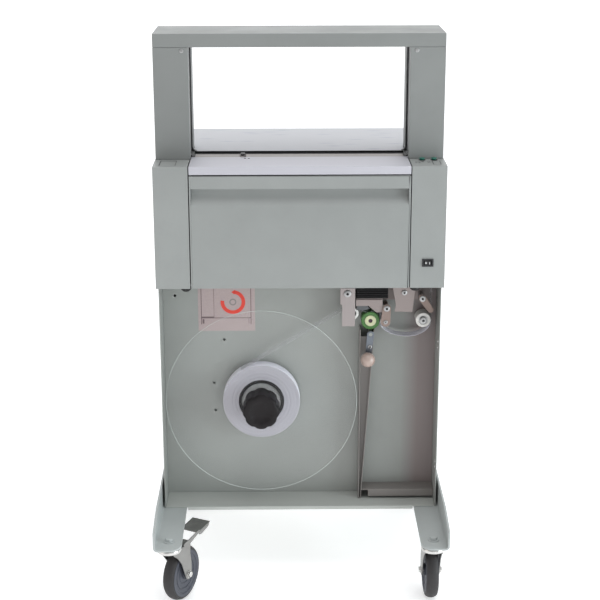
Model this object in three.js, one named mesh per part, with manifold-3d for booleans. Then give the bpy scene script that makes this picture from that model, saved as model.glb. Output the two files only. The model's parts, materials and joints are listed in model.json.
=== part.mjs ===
// Floor-standing semi-automatic banding machine: an arch over a work table, a housing with the
// sealing head, and an open cabinet with the tape reel, on two feet with four swivel casters.
// Millimetres. X to the right, Y to the back (the operator stands at -Y), Z up.
// The origin is on the floor under the middle of the machine.
import * as THREE from 'three';
import { mergeVertices } from 'three/addons/utils/BufferGeometryUtils.js';
import Module from 'manifold-3d';

const wasm = await Module();
wasm.setup();

// ---------------------------------------------------------------- driving dimensions
const GAP = 0.3;               // clearance between touching pieces
const SHEET = 2;               // cover sheet thickness

const HEIGHT = 1190;           // floor to the top of the arch
const TABLE_Z = 928;           // work surface
const HOUSING_Z = 667;         // lower edge of the housing covers
const CABINET_Z = 153.3;       // lower edge of the cabinet
const FOOT_Z = 149;            // underside of the feet, on the casters

const HOUSING_X = 304;         // half width over the side covers
const COLUMN_X = 231.5;        // inner face of the side covers
const HOUSING_FRONT = -140;
const HOUSING_BACK = 300;

const ARCH_X = 303;            // half width of the arch
const OPENING_X = 230;         // half width of the arch opening
const ARCH_FRONT = -62.5;      // the arch's front and back faces
const ARCH_BACK = 85.5;
const OPENING_TOP = 1162;
const TRACK_FRONT = -35.5;     // the track's slot in the arch, front and back edge
const TRACK_BACK = 40.5;
const TRACK_THICK = 13.2;
const TAPE_WIDTH = 30;
const TAPE_Y = 14;             // middle of the tape in the arch

const SLOT_FRONT = -35.8;      // table joints, front to back
const SLOT_BACK = -3;
const REAR_TABLE_Y = 31;
const WIDE_TABLE_Y = 87;       // behind the arch the rear table has the housing's whole width

const CABINET_X = 300.7;       // half width of the cabinet
const CABINET_FRONT = -119;
const CABINET_BACK = 288;
const BAY_BACK = -40;          // front face of the plate behind the reel
const BOX_FRONT = -80;         // front edge of the divider and the tape box

const FOOT_X = 310;            // half width over the feet
const FOOT_Y = 327;            // half length of the feet
const FOOT_WIDTH = 58;

const REEL = { x: -85, z: 389, roll: 84.5, disc: 210, core: 50 };
const KNOB_FRONT = -147;
const ROLL_FRONT = -78;
const ROLL_BACK = ROLL_FRONT + TAPE_WIDTH;
const DRIVE = { x: 153, z: 574.5, r: 20 };
const PINCH = { x: 185.4, z: 573, r: 11 };
const PINCH_PIVOT = { x: 187.5, z: 604 };
const GUIDE = { x: 113, z: 591, r: 14 };
const LOOP = { x: 267.5, z: 575.5, r: 16.2 };
const LOOP_PIVOT = { x: 264.5, z: 626 };
const LEVER_PIVOT = { x: 153, z: 546 };
const LEVER_KNOB = { x: 146.6, y: -100, z: 492, r: 16 };
const ROLLER_FRONT = -78;
const ROLLER_BACK = -46;

const HEAD = { x: -100, shaft: 760, low: 20, lift: 6 };   // sealing head, cam shaft height and cam rise

const WHEEL = { r: 60, width: 28, trail: 46 };
const CASTER = { x: 280, y: 284 };

const BUTTONS = { start: 257, reset: 282, y: -76, r: 6.5 };
const SWITCH = { x: 267.8, z: 722, w: 24, h: 17 };

const ROUND = 20;              // facets on a roller or knob
const WHEEL_ROUND = 24;

// ---------------------------------------------------------------- materials
const look = (color, roughness, metalness = 0) =>
  new THREE.MeshStandardMaterial({ color, roughness, metalness });
const paint = look(0xa6aca5, 0.5);
const innerPaint = look(0x969d95, 0.55);
const stainless = look(0xcfcfd6, 0.3, 0.9);
const steel = look(0x9a9ca0, 0.35, 0.9);
const zinc = look(0xb4b3ae, 0.35, 0.9);
const castGrey = look(0x6f7376, 0.6, 0.4);
const black = look(0x17181a, 0.45);
const whitePlastic = look(0xe4e4e0, 0.4);
const paper = look(0xe3e0ee, 0.75);
const acrylic = look(0xd5dfe0, 0.1);
const greenUrethane = look(0x3f9b35, 0.45);
const greenButton = look(0x1f5a3c, 0.35);
const tyreGrey = look(0x5d6478, 0.6);

// ---------------------------------------------------------------- shapes
const box = (x0, x1, y0, y1, z0, z1) =>
  new THREE.BoxGeometry(x1 - x0, y1 - y0, z1 - z0).translate((x0 + x1) / 2, (y0 + y1) / 2, (z0 + z1) / 2);

// points along an arc, angles in degrees
const arcPoints = (u, v, r, from, to, steps = 5) => Array.from({ length: steps + 1 }, (_, i) => {
  const turn = THREE.MathUtils.degToRad(from + (to - from) * i / steps);
  return [u + r * Math.cos(turn), v + r * Math.sin(turn)];
});

const outline = (points) => new THREE.Shape(points.map(([u, v]) => new THREE.Vector2(u, v)));

const prism = (shape, depth, holes = []) => {
  const outer = Array.isArray(shape) ? outline(shape) : shape;
  outer.holes.push(...holes);
  return new THREE.ExtrudeGeometry(outer, { depth, bevelEnabled: false, curveSegments: 10 });
};

// outlines drawn as [x, z], [y, z] and [x, y], pushed along the third axis
const alongY = (shape, y0, y1, holes) => prism(shape, y1 - y0, holes).rotateX(Math.PI / 2).translate(0, y1, 0);
const alongX = (shape, x0, x1, holes) =>
  prism(shape, x1 - x0, holes).applyMatrix4(new THREE.Matrix4().set(0, 0, 1, x0, 1, 0, 0, 0, 0, 1, 0, 0, 0, 0, 0, 1));
const alongZ = (shape, z0, z1, holes) => prism(shape, z1 - z0, holes).translate(0, 0, z0);

const circleHole = (u, v, r) => {
  const hole = new THREE.Path();
  hole.absarc(u, v, r, 0, Math.PI * 2, true);
  return hole;
};

const rodY = (x, z, r, y0, y1, n = ROUND) =>
  new THREE.CylinderGeometry(r, r, y1 - y0, n).translate(x, (y0 + y1) / 2, z);
const rodX = (y, z, r, x0, x1, n = ROUND) =>
  new THREE.CylinderGeometry(r, r, x1 - x0, n).rotateZ(Math.PI / 2).translate((x0 + x1) / 2, y, z);
const rodZ = (x, y, r, z0, z1, n = ROUND) =>
  new THREE.CylinderGeometry(r, r, z1 - z0, n).rotateX(Math.PI / 2).translate(x, y, (z0 + z1) / 2);

// profile of [radius, distance] pairs turned about the Y axis (or X axis) through x, z
const turned = (profile, n) =>
  new THREE.LatheGeometry(profile.map(([r, t]) => new THREE.Vector2(r, t)), n);
const turnedY = (profile, x, z, n = ROUND) => turned(profile, n).translate(x, 0, z);
const turnedX = (profile, y, z, n = ROUND) => turned(profile, n).rotateZ(-Math.PI / 2).translate(0, y, z);
const ringProfile = (rIn, rOut, t0, t1) => [[rIn, t0], [rOut, t0], [rOut, t1], [rIn, t1], [rIn, t0]];

// ---------------------------------------------------------------- cutting and joining
const toSolid = (geometry) => {
  const bare = geometry.index ? geometry.toNonIndexed() : geometry.clone();
  bare.deleteAttribute('normal');
  bare.deleteAttribute('uv');
  const welded = mergeVertices(bare, 1e-4);
  const vertProperties = Float32Array.from(welded.attributes.position.array);
  return new wasm.Manifold(new wasm.Mesh({
    numProp: 3, vertProperties, triVerts: Uint32Array.from(welded.index.array),
  }));
};
const toGeometry = (solid) => {
  const mesh = solid.getMesh();
  const geometry = new THREE.BufferGeometry();
  geometry.setAttribute('position', new THREE.BufferAttribute(mesh.vertProperties, 3));
  geometry.setIndex(new THREE.BufferAttribute(mesh.triVerts, 1));
  geometry.computeVertexNormals();
  return geometry;
};
const join = (...pieces) => toGeometry(pieces.map(toSolid).reduce((whole, piece) => whole.add(piece)));
const cut = (body, ...tools) =>
  toGeometry(tools.map(toSolid).reduce((whole, tool) => whole.subtract(tool), toSolid(body)));

const machine = new THREE.Group();
const add = (name, geometry, material, parent = machine) => {
  const mesh = new THREE.Mesh(geometry, material);
  mesh.name = name;
  parent.add(mesh);
  return mesh;
};

// the same piece for the other side: X reversed, and each triangle's corners reordered to face out
const mirrored = (geometry) => {
  const copy = geometry.index ? geometry.toNonIndexed() : geometry.clone();
  const { array } = copy.attributes.position;
  for (let t = 0; t < array.length; t += 9) {
    for (let axis = 0; axis < 3; axis += 1) {
      [array[t + 3 + axis], array[t + 6 + axis]] = [array[t + 6 + axis], array[t + 3 + axis]];
    }
    for (let corner = 0; corner < 9; corner += 3) array[t + corner] *= -1;
  }
  copy.computeVertexNormals();
  return copy;
};

// ---------------------------------------------------------------- cabinet
const wallIn = CABINET_X - SHEET;
const WALL_TOP = 700;
const FLANGE = 20;
{
  const wall = alongZ([
    [wallIn, CABINET_FRONT], [CABINET_X, CABINET_FRONT], [CABINET_X, CABINET_BACK],
    [wallIn - FLANGE, CABINET_BACK], [wallIn - FLANGE, CABINET_BACK - SHEET], [wallIn, CABINET_BACK - SHEET],
  ], CABINET_Z, WALL_TOP);
  add('cabinet_right_wall', wall, innerPaint);
  add('cabinet_left_wall', mirrored(wall), innerPaint);

  // the tray's front edge is folded down between the feet
  const FOLD = 6;
  const foldX = FOOT_X - FOOT_WIDTH - 2;
  add('bottom_tray', join(
    box(-wallIn + GAP, wallIn - GAP, CABINET_FRONT, CABINET_BACK - SHEET - GAP, CABINET_Z, CABINET_Z + SHEET),
    box(-foldX, foldX, CABINET_FRONT, CABINET_FRONT + SHEET, CABINET_Z - FOLD, CABINET_Z + 1),
  ), innerPaint);
}
const trayTop = CABINET_Z + SHEET + GAP;
const bayTop = HOUSING_Z;

// the plate behind the reel, with the holes for the shafts and the pins of the loop roller and the lever
{
  const plate = alongY([
    [-wallIn + GAP, trayTop], [wallIn - GAP, trayTop], [wallIn - GAP, bayTop], [-wallIn + GAP, bayTop],
  ], BAY_BACK, BAY_BACK + SHEET, [
    circleHole(DRIVE.x, DRIVE.z, 6),
    circleHole(-272, 622, 3), circleHole(-166, 521, 3), circleHole(-190, 420, 3), circleHole(-188, 355, 3),
  ]);
  const LOOP_PIN = 4;
  const LEVER_PIN = 4;
  add('back_plate', join(
    plate,
    rodY(LOOP.x, LOOP.z, LOOP_PIN, ROLLER_FRONT - 2, BAY_BACK + 1, 16),
    rodY(LEVER_PIVOT.x, LEVER_PIVOT.z, LEVER_PIN, -87.7, BAY_BACK + 1, 16),
    rodY(LOOP_PIVOT.x, LOOP_PIVOT.z, LEVER_PIN, -83.7, BAY_BACK + 1, 16),
  ), innerPaint);
}

const slots = (count, x0, x1, y0, y1, z0, pitch, height) =>
  Array.from({ length: count }, (_, i) => box(x0, x1, y0, y1, z0 + i * pitch, z0 + i * pitch + height));

add('rear_cover', cut(
  box(-CABINET_X, CABINET_X, CABINET_BACK + GAP, CABINET_BACK + GAP + SHEET, trayTop, HOUSING_Z - GAP),
  ...slots(6, -70, 70, CABINET_BACK - 5, CABINET_BACK + 10, 240, 16, 5),
), innerPaint);

// divider between the reel and the tape box, and the box itself: a leaning side and a floor with a lip
const DIVIDER_X = 130;
const DIVIDER_TOP = 554;
add('bay_divider', box(DIVIDER_X, DIVIDER_X + SHEET, BOX_FRONT, BAY_BACK - GAP, trayTop, DIVIDER_TOP), innerPaint);

const BOX_FLOOR = 178;
const WEDGE_TOP = 536;         // the face between the divider and the leaning side ends under the lever's pin
const boxRight = wallIn - GAP;
add('tape_box', join(
  alongY([
    [DIVIDER_X + 4, trayTop], [DIVIDER_X + 6, trayTop], [162, DIVIDER_TOP], [160, DIVIDER_TOP],
  ], BOX_FRONT, BAY_BACK - GAP),
  box(136, boxRight, BOX_FRONT, BAY_BACK - GAP, BOX_FLOOR - SHEET, BOX_FLOOR),
  box(152, boxRight, BOX_FRONT, BOX_FRONT + SHEET, BOX_FLOOR - 17, BOX_FLOOR),
  alongY([
    [DIVIDER_X + SHEET + GAP, trayTop], [DIVIDER_X + 5, trayTop], [160.5, WEDGE_TOP], [DIVIDER_X + SHEET + GAP, WEDGE_TOP],
  ], BOX_FRONT + 12, BOX_FRONT + 14),
), innerPaint);

// ---------------------------------------------------------------- housing
// the upper frame: a floor plate with two standing sides that carry the tables
const FRAME_X = 226;
const FRAME_FRONT = -108;
const FRAME_BACK = 285;
const frameTop = TABLE_Z - SHEET - GAP;
const deckTop = HOUSING_Z + GAP + 3;
{
  const halfOutline = [
    [FRAME_X, deckTop], [FRAME_X, frameTop], [FRAME_X + 3, frameTop], [FRAME_X + 3, deckTop],
    [wallIn - GAP, deckTop], [wallIn - GAP, HOUSING_Z + GAP],
  ];
  const left = halfOutline.map(([x, z]) => [-x, z]).reverse();
  add('upper_frame', cut(
    alongY([...left, ...halfOutline], FRAME_FRONT, FRAME_BACK),
    box(278, 291, BAY_BACK - TAPE_WIDTH - 10, BAY_BACK - 2, HOUSING_Z - 5, deckTop + 5),
  ), innerPaint);
}
const onDeck = deckTop + GAP;

// a side cover: its top is left off behind the arch, where the rear table lies over it
const sideShell = () => cut(
  box(COLUMN_X, HOUSING_X, HOUSING_FRONT, HOUSING_BACK, HOUSING_Z, TABLE_Z),
  box(COLUMN_X + SHEET, HOUSING_X - SHEET, HOUSING_FRONT + SHEET, HOUSING_BACK - SHEET,
    HOUSING_Z - 10, TABLE_Z - SHEET),
  box(COLUMN_X - 5, COLUMN_X + SHEET + 1, HOUSING_FRONT + SHEET, HOUSING_BACK - SHEET, HOUSING_Z - 10, onDeck),
  box(COLUMN_X - 5, HOUSING_X + 5, WIDE_TABLE_Y - GAP, HOUSING_BACK + 5, TABLE_Z - SHEET - GAP, TABLE_Z + 5),
);
{
  const BLANK = { x0: -292, x1: -257, y0: -126, y1: -72, depth: 1.2 };
  add('left_side_cover', cut(
    mirrored(sideShell()),
    box(BLANK.x0, BLANK.x1, BLANK.y0, BLANK.y1, TABLE_Z - BLANK.depth, TABLE_Z + 5),
  ), paint);

  const NECK = BUTTONS.r - 1.5;
  add('right_side_cover', cut(
    sideShell(),
    rodZ(BUTTONS.start, BUTTONS.y, NECK + 0.5, TABLE_Z - 10, TABLE_Z + 10, 20),
    rodZ(BUTTONS.reset, BUTTONS.y, NECK + 0.5, TABLE_Z - 10, TABLE_Z + 10, 20),
    box(SWITCH.x - SWITCH.w / 2 + 2, SWITCH.x + SWITCH.w / 2 - 2, HOUSING_FRONT - 5, HOUSING_FRONT + 5,
      SWITCH.z - SWITCH.h / 2 + 2, SWITCH.z + SWITCH.h / 2 - 2),
  ), paint);

  const CAP_LOW = 0.6;
  const CAP_TOP = 5;
  for (const [name, x] of [['start_button', BUTTONS.start], ['reset_button', BUTTONS.reset]]) {
    add(name, turned([
      [0, -16], [NECK - 1, -16], [NECK - 1, -SHEET - 4], [NECK, -SHEET - 4], [NECK, CAP_LOW + 2.5],
      [BUTTONS.r, CAP_LOW + 2.5], [BUTTONS.r, CAP_TOP - 1], [BUTTONS.r - 1, CAP_TOP], [0, CAP_TOP],
    ], 14).rotateX(Math.PI / 2).translate(x, BUTTONS.y, TABLE_Z), greenButton);
  }
}

// mains switch: a bezel clipped into the cover with a rocker tilting in it about an upright axis
{
  const { x, z, w, h } = SWITCH;
  const front = HOUSING_FRONT - 2;
  add('switch_bezel', cut(
    join(
      box(x - w / 2, x + w / 2, front, HOUSING_FRONT - GAP, z - h / 2, z + h / 2),
      box(x - w / 2 + 2.3, x + w / 2 - 2.3, front, HOUSING_FRONT + 18, z - h / 2 + 2.3, z + h / 2 - 2.3),
    ),
    box(x - w / 2 + 3.5, x + w / 2 - 3.5, front - 1, HOUSING_FRONT + 14, z - h / 2 + 3.5, z + h / 2 - 3.5),
  ), black);
  const half = w / 2 - 5.2;
  add('power_rocker', alongZ([
    [x - half, front - 0.5], [x - half * 0.4, front + 0.8], [x + half * 0.6, front - 2.2], [x + half, front - 2.6],
    [x + half * 0.75, front + 8], [x - half * 0.6, front + 8],
  ], z - h / 2 + 4, z + h / 2 - 4), black);
}

// front cover: a shallow shell with a proud strip and a scooped finger pull under it
const DOOR_X = COLUMN_X - 2;
const DOOR = { low: HOUSING_Z + 1, top: 908, strip: 881, pull: 847, depth: 24, scoop: 17 };
{
  const scoopPoints = (inset) => Array.from({ length: 7 }, (_, i) => {
    const turn = (i / 6) * Math.PI / 2;
    return [HOUSING_FRONT + DOOR.scoop * Math.cos(turn) + inset, DOOR.strip - inset
      - (DOOR.strip - DOOR.pull - inset) * Math.sin(turn)];
  });
  const back = HOUSING_FRONT + DOOR.depth;
  const skin = alongX([
    [back, DOOR.top], [HOUSING_FRONT, DOOR.top], [HOUSING_FRONT, DOOR.strip],
    ...scoopPoints(0), [HOUSING_FRONT, DOOR.low], [back, DOOR.low],
  ], -DOOR_X, DOOR_X);
  const hollow = alongX([
    [back + 1, DOOR.top - SHEET], [HOUSING_FRONT + SHEET, DOOR.top - SHEET],
    [HOUSING_FRONT + SHEET, DOOR.strip + SHEET], [HOUSING_FRONT + DOOR.scoop + SHEET, DOOR.strip + SHEET],
    ...scoopPoints(SHEET), [HOUSING_FRONT + SHEET, DOOR.low + SHEET], [back + 1, DOOR.low + SHEET],
  ], -DOOR_X + SHEET, DOOR_X - SHEET);
  const END = 5;
  const endCap = (x0, x1) => box(x0, x1, HOUSING_FRONT, back, DOOR.pull - 4, DOOR.strip + 1);
  add('front_cover', join(cut(skin, hollow), endCap(-DOOR_X, -DOOR_X + END), endCap(DOOR_X - END, DOOR_X)), paint);
}

// tables: a front one with a folded lip, the slot plate over the sealing head, and a rear one
const TABLE_X = COLUMN_X - 2.1;
{
  const LIP_Z = 911;
  add('front_table', alongX([
    [SLOT_FRONT - GAP, TABLE_Z - SHEET], [SLOT_FRONT - GAP, TABLE_Z], [HOUSING_FRONT + 1, TABLE_Z],
    [HOUSING_FRONT, TABLE_Z - 1], [HOUSING_FRONT, LIP_Z], [HOUSING_FRONT + SHEET, LIP_Z],
    [HOUSING_FRONT + SHEET, TABLE_Z - SHEET],
  ], -TABLE_X, TABLE_X), stainless);

  add('slot_plate', cut(
    box(-TABLE_X, TABLE_X, SLOT_FRONT, SLOT_BACK, TABLE_Z - SHEET, TABLE_Z - 0.6),
    box(-127, -114, -34, -5, TABLE_Z - 10, TABLE_Z + 10),
  ), steel);

  add('rear_table', alongZ([
    [-TABLE_X, REAR_TABLE_Y], [TABLE_X, REAR_TABLE_Y], [TABLE_X, WIDE_TABLE_Y], [HOUSING_X, WIDE_TABLE_Y],
    [HOUSING_X, HOUSING_BACK], [-HOUSING_X, HOUSING_BACK], [-HOUSING_X, WIDE_TABLE_Y], [-TABLE_X, WIDE_TABLE_Y],
  ], TABLE_Z - SHEET, TABLE_Z), stainless);
}

add('rear_upper_cover', cut(
  box(-COLUMN_X + 0.5, COLUMN_X - 0.5, HOUSING_BACK - SHEET, HOUSING_BACK, HOUSING_Z, TABLE_Z - SHEET - GAP),
  ...slots(5, 40, 180, HOUSING_BACK - 10, HOUSING_BACK + 5, 800, 14, 5),
  box(-164, -136, HOUSING_BACK - 10, HOUSING_BACK + 5, 711, 731),
), paint);

// mains inlet: a flanged socket, open to the back
add('power_inlet', cut(
  join(
    box(-175, -125, HOUSING_BACK + GAP, HOUSING_BACK + 3, 707, 735),
    box(-163.5, -136.5, HOUSING_BACK - 22, HOUSING_BACK + 3, 711.5, 730.5),
  ),
  box(-161.5, -138.5, HOUSING_BACK - 18, HOUSING_BACK + 5, 713.5, 728.5),
), black);

// ---------------------------------------------------------------- arch
{
  const upright = cut(
    box(OPENING_X, ARCH_X, ARCH_FRONT, ARCH_BACK, TABLE_Z + GAP, OPENING_TOP - GAP),
    box(OPENING_X + SHEET, ARCH_X - SHEET, ARCH_FRONT + SHEET, ARCH_BACK - SHEET, TABLE_Z - 5, OPENING_TOP + 5),
    box(OPENING_X - 5, OPENING_X + SHEET + 1, TRACK_FRONT, TRACK_BACK, TABLE_Z - 5, OPENING_TOP + 5),
  );
  add('arch_right_upright', upright, paint);
  add('arch_left_upright', mirrored(upright), paint);

  const trackOut = OPENING_X + 0.8 + TRACK_THICK;
  add('arch_header', cut(
    box(-ARCH_X, ARCH_X, ARCH_FRONT, ARCH_BACK, OPENING_TOP, HEIGHT),
    box(-ARCH_X + SHEET, ARCH_X - SHEET, ARCH_FRONT + SHEET, ARCH_BACK - SHEET,
      OPENING_TOP + SHEET, HEIGHT - SHEET),
    box(-trackOut - GAP, trackOut + GAP, TRACK_FRONT, TRACK_BACK, OPENING_TOP - 5, OPENING_TOP + SHEET + 1),
  ), paint);

  // an upside-down U of track; its groove turns the corners on a bend, so the tape can slide round them
  const inner = OPENING_X + 0.8;
  const trackTop = OPENING_TOP + 0.8;
  const low = TABLE_Z + GAP;
  const GROOVE = 10.4;
  const BEND = 24;
  const arch = (offset, base, bend = 0) => {
    const x = inner + offset - bend;
    const z = trackTop + offset - bend;
    const corner = bend
      ? Array.from({ length: 5 }, (_, i) => [x + bend * Math.cos(i * Math.PI / 8), z + bend * Math.sin(i * Math.PI / 8)])
      : [[x, z]];
    const right = [[inner + offset, base], ...corner];
    return [...right.map(([u, v]) => [-u, v]), ...right.reverse()];
  };
  add('arch_track', cut(
    alongY([...arch(TRACK_THICK, low), ...arch(0, low).reverse()], TRACK_FRONT + GAP, TRACK_BACK - GAP),
    alongY([...arch(GROOVE, low - 5, BEND), ...arch(-5, low - 5).reverse()],
      TAPE_Y - TAPE_WIDTH / 2 - 1, TAPE_Y + TAPE_WIDTH / 2 + 1),
  ), black);

  // the stretch of track in the table, between the frame's sides
  add('track_bottom', join(
    box(-FRAME_X + GAP, FRAME_X - GAP, SLOT_BACK + GAP, REAR_TABLE_Y - GAP, TABLE_Z - 12, TABLE_Z - 4),
    box(-FRAME_X + GAP, FRAME_X - GAP, SLOT_BACK + GAP, SLOT_BACK + 2, TABLE_Z - 5, TABLE_Z - 0.4),
    box(-FRAME_X + GAP, FRAME_X - GAP, REAR_TABLE_Y - 2, REAR_TABLE_Y - GAP, TABLE_Z - 5, TABLE_Z - 0.4),
  ), black);
}

// ---------------------------------------------------------------- sealing head and drives in the housing
{
  const { x, shaft, low, lift } = HEAD;
  const CHEEK = 12;
  const inside = 20;
  const headTop = 912;
  const cheek = (x0) => box(x0, x0 + CHEEK, -30, 30, onDeck, headTop);
  const shaftHole = rodX(0, shaft, 6.6, x - 40, x + 40, 20);
  add('sealing_head', cut(
    join(
      cheek(x - inside - CHEEK), cheek(x + inside),
      box(x - inside - 1, x + inside + 1, -30, 30, onDeck, onDeck + 8),
      box(-126, -115, -33, -6, headTop - 12, TABLE_Z + 1.5),
    ),
    box(x - inside, x + inside, -24, 24, headTop - 40, TABLE_Z + 5),
    shaftHole,
  ), steel);

  const followerLow = shaft + low + 1;
  add('press_head', join(
    box(x - inside + 0.7, x + inside - 0.7, -20, 20, 850, 903),
    box(x - 6, x + 6, -8, 8, followerLow, 851),
  ), steel);

  // cam whose radius grows evenly through half a turn, on a straight shaft into the motor
  const steps = 18;
  const camOutline = Array.from({ length: steps + 1 }, (_, i) => {
    const turn = Math.PI * (0.5 + i / steps);
    const r = low + lift * (i / steps);
    return [r * Math.cos(turn), shaft + r * Math.sin(turn)];
  });
  const quarter = Array.from({ length: 8 }, (_, i) => {
    const turn = Math.PI * 1.5 + (i + 1) / 8 * Math.PI;
    const r = low + lift * (1 - (i + 1) / 8);
    return [r * Math.cos(turn), shaft + r * Math.sin(turn)];
  }).slice(0, 7);
  add('cam_shaft', join(
    alongX([...camOutline, ...quarter], x - 6, x + 6),
    rodX(0, shaft, 6, x - 36, x + 60, 20),
  ), steel);

  const gearbox = { x0: x + inside + CHEEK + 4, x1: x + inside + CHEEK + 46 };
  add('main_motor', cut(
    join(
      box(gearbox.x0, gearbox.x1, -36, 36, onDeck, 800),
      rodX(0, 735, 36, gearbox.x1 - 1, gearbox.x1 + 110, ROUND),
      box(gearbox.x1 + 20, gearbox.x1 + 90, -24, 24, onDeck, 720),
    ),
    rodX(0, shaft, 6.6, gearbox.x0 - 5, x + 62, 20),
  ), castGrey);

  add('control_box', box(40, 200, 110, 270, onDeck, 750), castGrey);
}

// ---------------------------------------------------------------- reel
{
  const { x, z, roll, disc, core } = REEL;
  const SPINDLE = 8;
  add('reel_spindle', turnedY([
    [0, BAY_BACK - 48], [SPINDLE, BAY_BACK - 48], [SPINDLE, BAY_BACK - 5], [22, BAY_BACK - 5],
    [22, BAY_BACK - GAP], [0, BAY_BACK - GAP],
  ], x, z), steel);
  const hubBack = BAY_BACK - 6;
  add('reel_hub', turnedY([
    [SPINDLE + 0.5, ROLL_FRONT - 0.5], [core - GAP, ROLL_FRONT - 0.5], [core - GAP, ROLL_BACK - 0.5 + GAP],
    [62, ROLL_BACK - 0.5 + GAP], [62, hubBack], [SPINDLE + 0.5, hubBack], [SPINDLE + 0.5, ROLL_FRONT - 0.5],
  ], x, z), black);
  add('tape_roll', turnedY(ringProfile(core, roll, ROLL_FRONT, ROLL_BACK - 0.5), x, z, 40), paper);
  const discBack = ROLL_FRONT - 1;
  add('clear_disc', turnedY(ringProfile(12, disc, discBack - 2.5, discBack), x, z, 44), acrylic);

  // the knob: a lobed grip, hollow where the spindle's end reaches in
  const lobes = 8;
  const grip = Array.from({ length: lobes * 4 }, (_, i) => {
    const turn = i / (lobes * 4) * Math.PI * 2;
    const r = 38.5 + 1.5 * Math.cos(turn * lobes);
    return [x + r * Math.cos(turn), z + r * Math.sin(turn)];
  });
  const knobBack = discBack - 2.5 - GAP;
  add('reel_knob', cut(
    join(alongY(grip, KNOB_FRONT, knobBack - 14), rodY(x, z, 26, knobBack - 15, knobBack)),
    rodY(x, z, SPINDLE + 0.6, BAY_BACK - 50, knobBack + 5, 20),
  ), black);
}

// ---------------------------------------------------------------- tape feed
const plateBack = BAY_BACK - GAP;
{
  // bracket of the guide roller: a plate in front of the roller on a block, with the roller's pin
  const PLATE = { front: -84, back: -82 };
  add('guide_bracket', join(
    alongY([[87, 650], [87, 614], [91, 612], [91, 564], [119, 564], [119, 650]], PLATE.front, PLATE.back),
    box(90, 116, PLATE.back - 1, plateBack, 616, 648),
    rodY(GUIDE.x, GUIDE.z, 4, PLATE.back - 1, plateBack, 16),
  ), stainless);
  const roller = ({ x, z, r }, bore, y0 = ROLLER_FRONT, y1 = ROLLER_BACK) => turnedY([
    [bore, y0], [r, y0], [r - 1, y0 + 2], [r - 1, y1 - 2], [r, y1], [bore, y1], [bore, y0],
  ], x, z);
  add('guide_roller', roller(GUIDE, 4.4), whitePlastic);
  add('loop_roller', roller(LOOP, 4.4), whitePlastic);

  add('drive_roller', turnedY([
    [0, ROLLER_FRONT + 3], [4, ROLLER_FRONT + 3], [4, ROLLER_FRONT - 1], [12, ROLLER_FRONT - 1],
    [12, ROLLER_FRONT], [DRIVE.r, ROLLER_FRONT], [DRIVE.r, ROLLER_BACK - 2], [5, ROLLER_BACK - 2],
    [5, BAY_BACK + 12], [0, BAY_BACK + 12],
  ], DRIVE.x, DRIVE.z), greenUrethane);
  add('feed_motor', cut(
    join(rodY(DRIVE.x, DRIVE.z, 30, BAY_BACK + SHEET + GAP, 60), box(DRIVE.x - 26, DRIVE.x + 26, 59, 74,
      DRIVE.z - 26, DRIVE.z + 26)),
    rodY(DRIVE.x, DRIVE.z, 5.6, BAY_BACK, BAY_BACK + 14, 20),
  ), castGrey);

  // mounting plate with a raised strip on the left and a leaning raised panel on the right
  const FRONT = -84;
  add('feed_plate', join(
    box(121, 258, BAY_BACK - 4, plateBack, 612, 655),
    box(121, 178, FRONT, FRONT + 2.5, 610, 624),
    box(121, 178, FRONT, plateBack, 621, 624),
    alongY([[199, 655], [207, 612], [204, 597], [243, 596], [249, 655]], FRONT, FRONT + 2.5),
    box(207, 245, FRONT + 1, BAY_BACK - 3, 634, 638),
  ), stainless);
  add('feed_solenoid', box(122, 190, FRONT, BAY_BACK - 4 - GAP, 627, 662), black);

  // pinch arm: hangs on a pivot and presses its roller on the drive roller
  const armOutline = () => {
    const arm = new THREE.Shape();
    arm.absarc(PINCH_PIVOT.x, PINCH_PIVOT.z, 9, 0, Math.PI, false);
    arm.absarc(PINCH.x, PINCH.z, 10, Math.PI, Math.PI * 2, false);
    return arm;
  };
  add('pinch_arm', join(
    alongY(armOutline(), FRONT, FRONT + 3),
    rodY(PINCH_PIVOT.x, PINCH_PIVOT.z, 5, FRONT - 3, plateBack, 16),
    rodY(PINCH.x, PINCH.z, 3.6, FRONT + 2, ROLLER_BACK, 16),
  ), stainless);
  add('pinch_roller', turnedY(ringProfile(4, PINCH.r, ROLLER_FRONT, ROLLER_BACK - 1), PINCH.x, PINCH.z, 24),
    whitePlastic);

  // loop arm: a pivoted finger over the loop roller that feels the tape
  const finger = [[256, 632], [262, 635], [270, 633], [290, 600], [286, 594], [279, 594], [257, 622]];
  add('loop_arm', cut(alongY(finger, -83, -80.5), rodY(LOOP_PIVOT.x, LOOP_PIVOT.z, 4.5, -90, -70, 16)), stainless);

  // hanging lever with a ball knob, in front of the tape box
  const rod = [[146, 549], [150, 553], [157, 553], [160.5, 549], [160.5, 543], [155, 500], [149, 496], [143, 500]];
  const { x, y, z, r } = LEVER_KNOB;
  add('tension_lever', cut(
    join(alongY(rod, -87, -84), rodY(149, 506, 3, -90, -86, 16)),
    rodY(LEVER_PIVOT.x, LEVER_PIVOT.z, 4.5, -90, -80, 16),
  ), steel);
  add('lever_knob', cut(
    new THREE.SphereGeometry(r, 14, 10).translate(x, y - 3.6, z + 2),
    box(x - 20, x + 20, -87.3, -70, z - 25, z + 25),
    rodY(149, 506, 3.4, -91, -80, 16),
  ), zinc);
}

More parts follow.
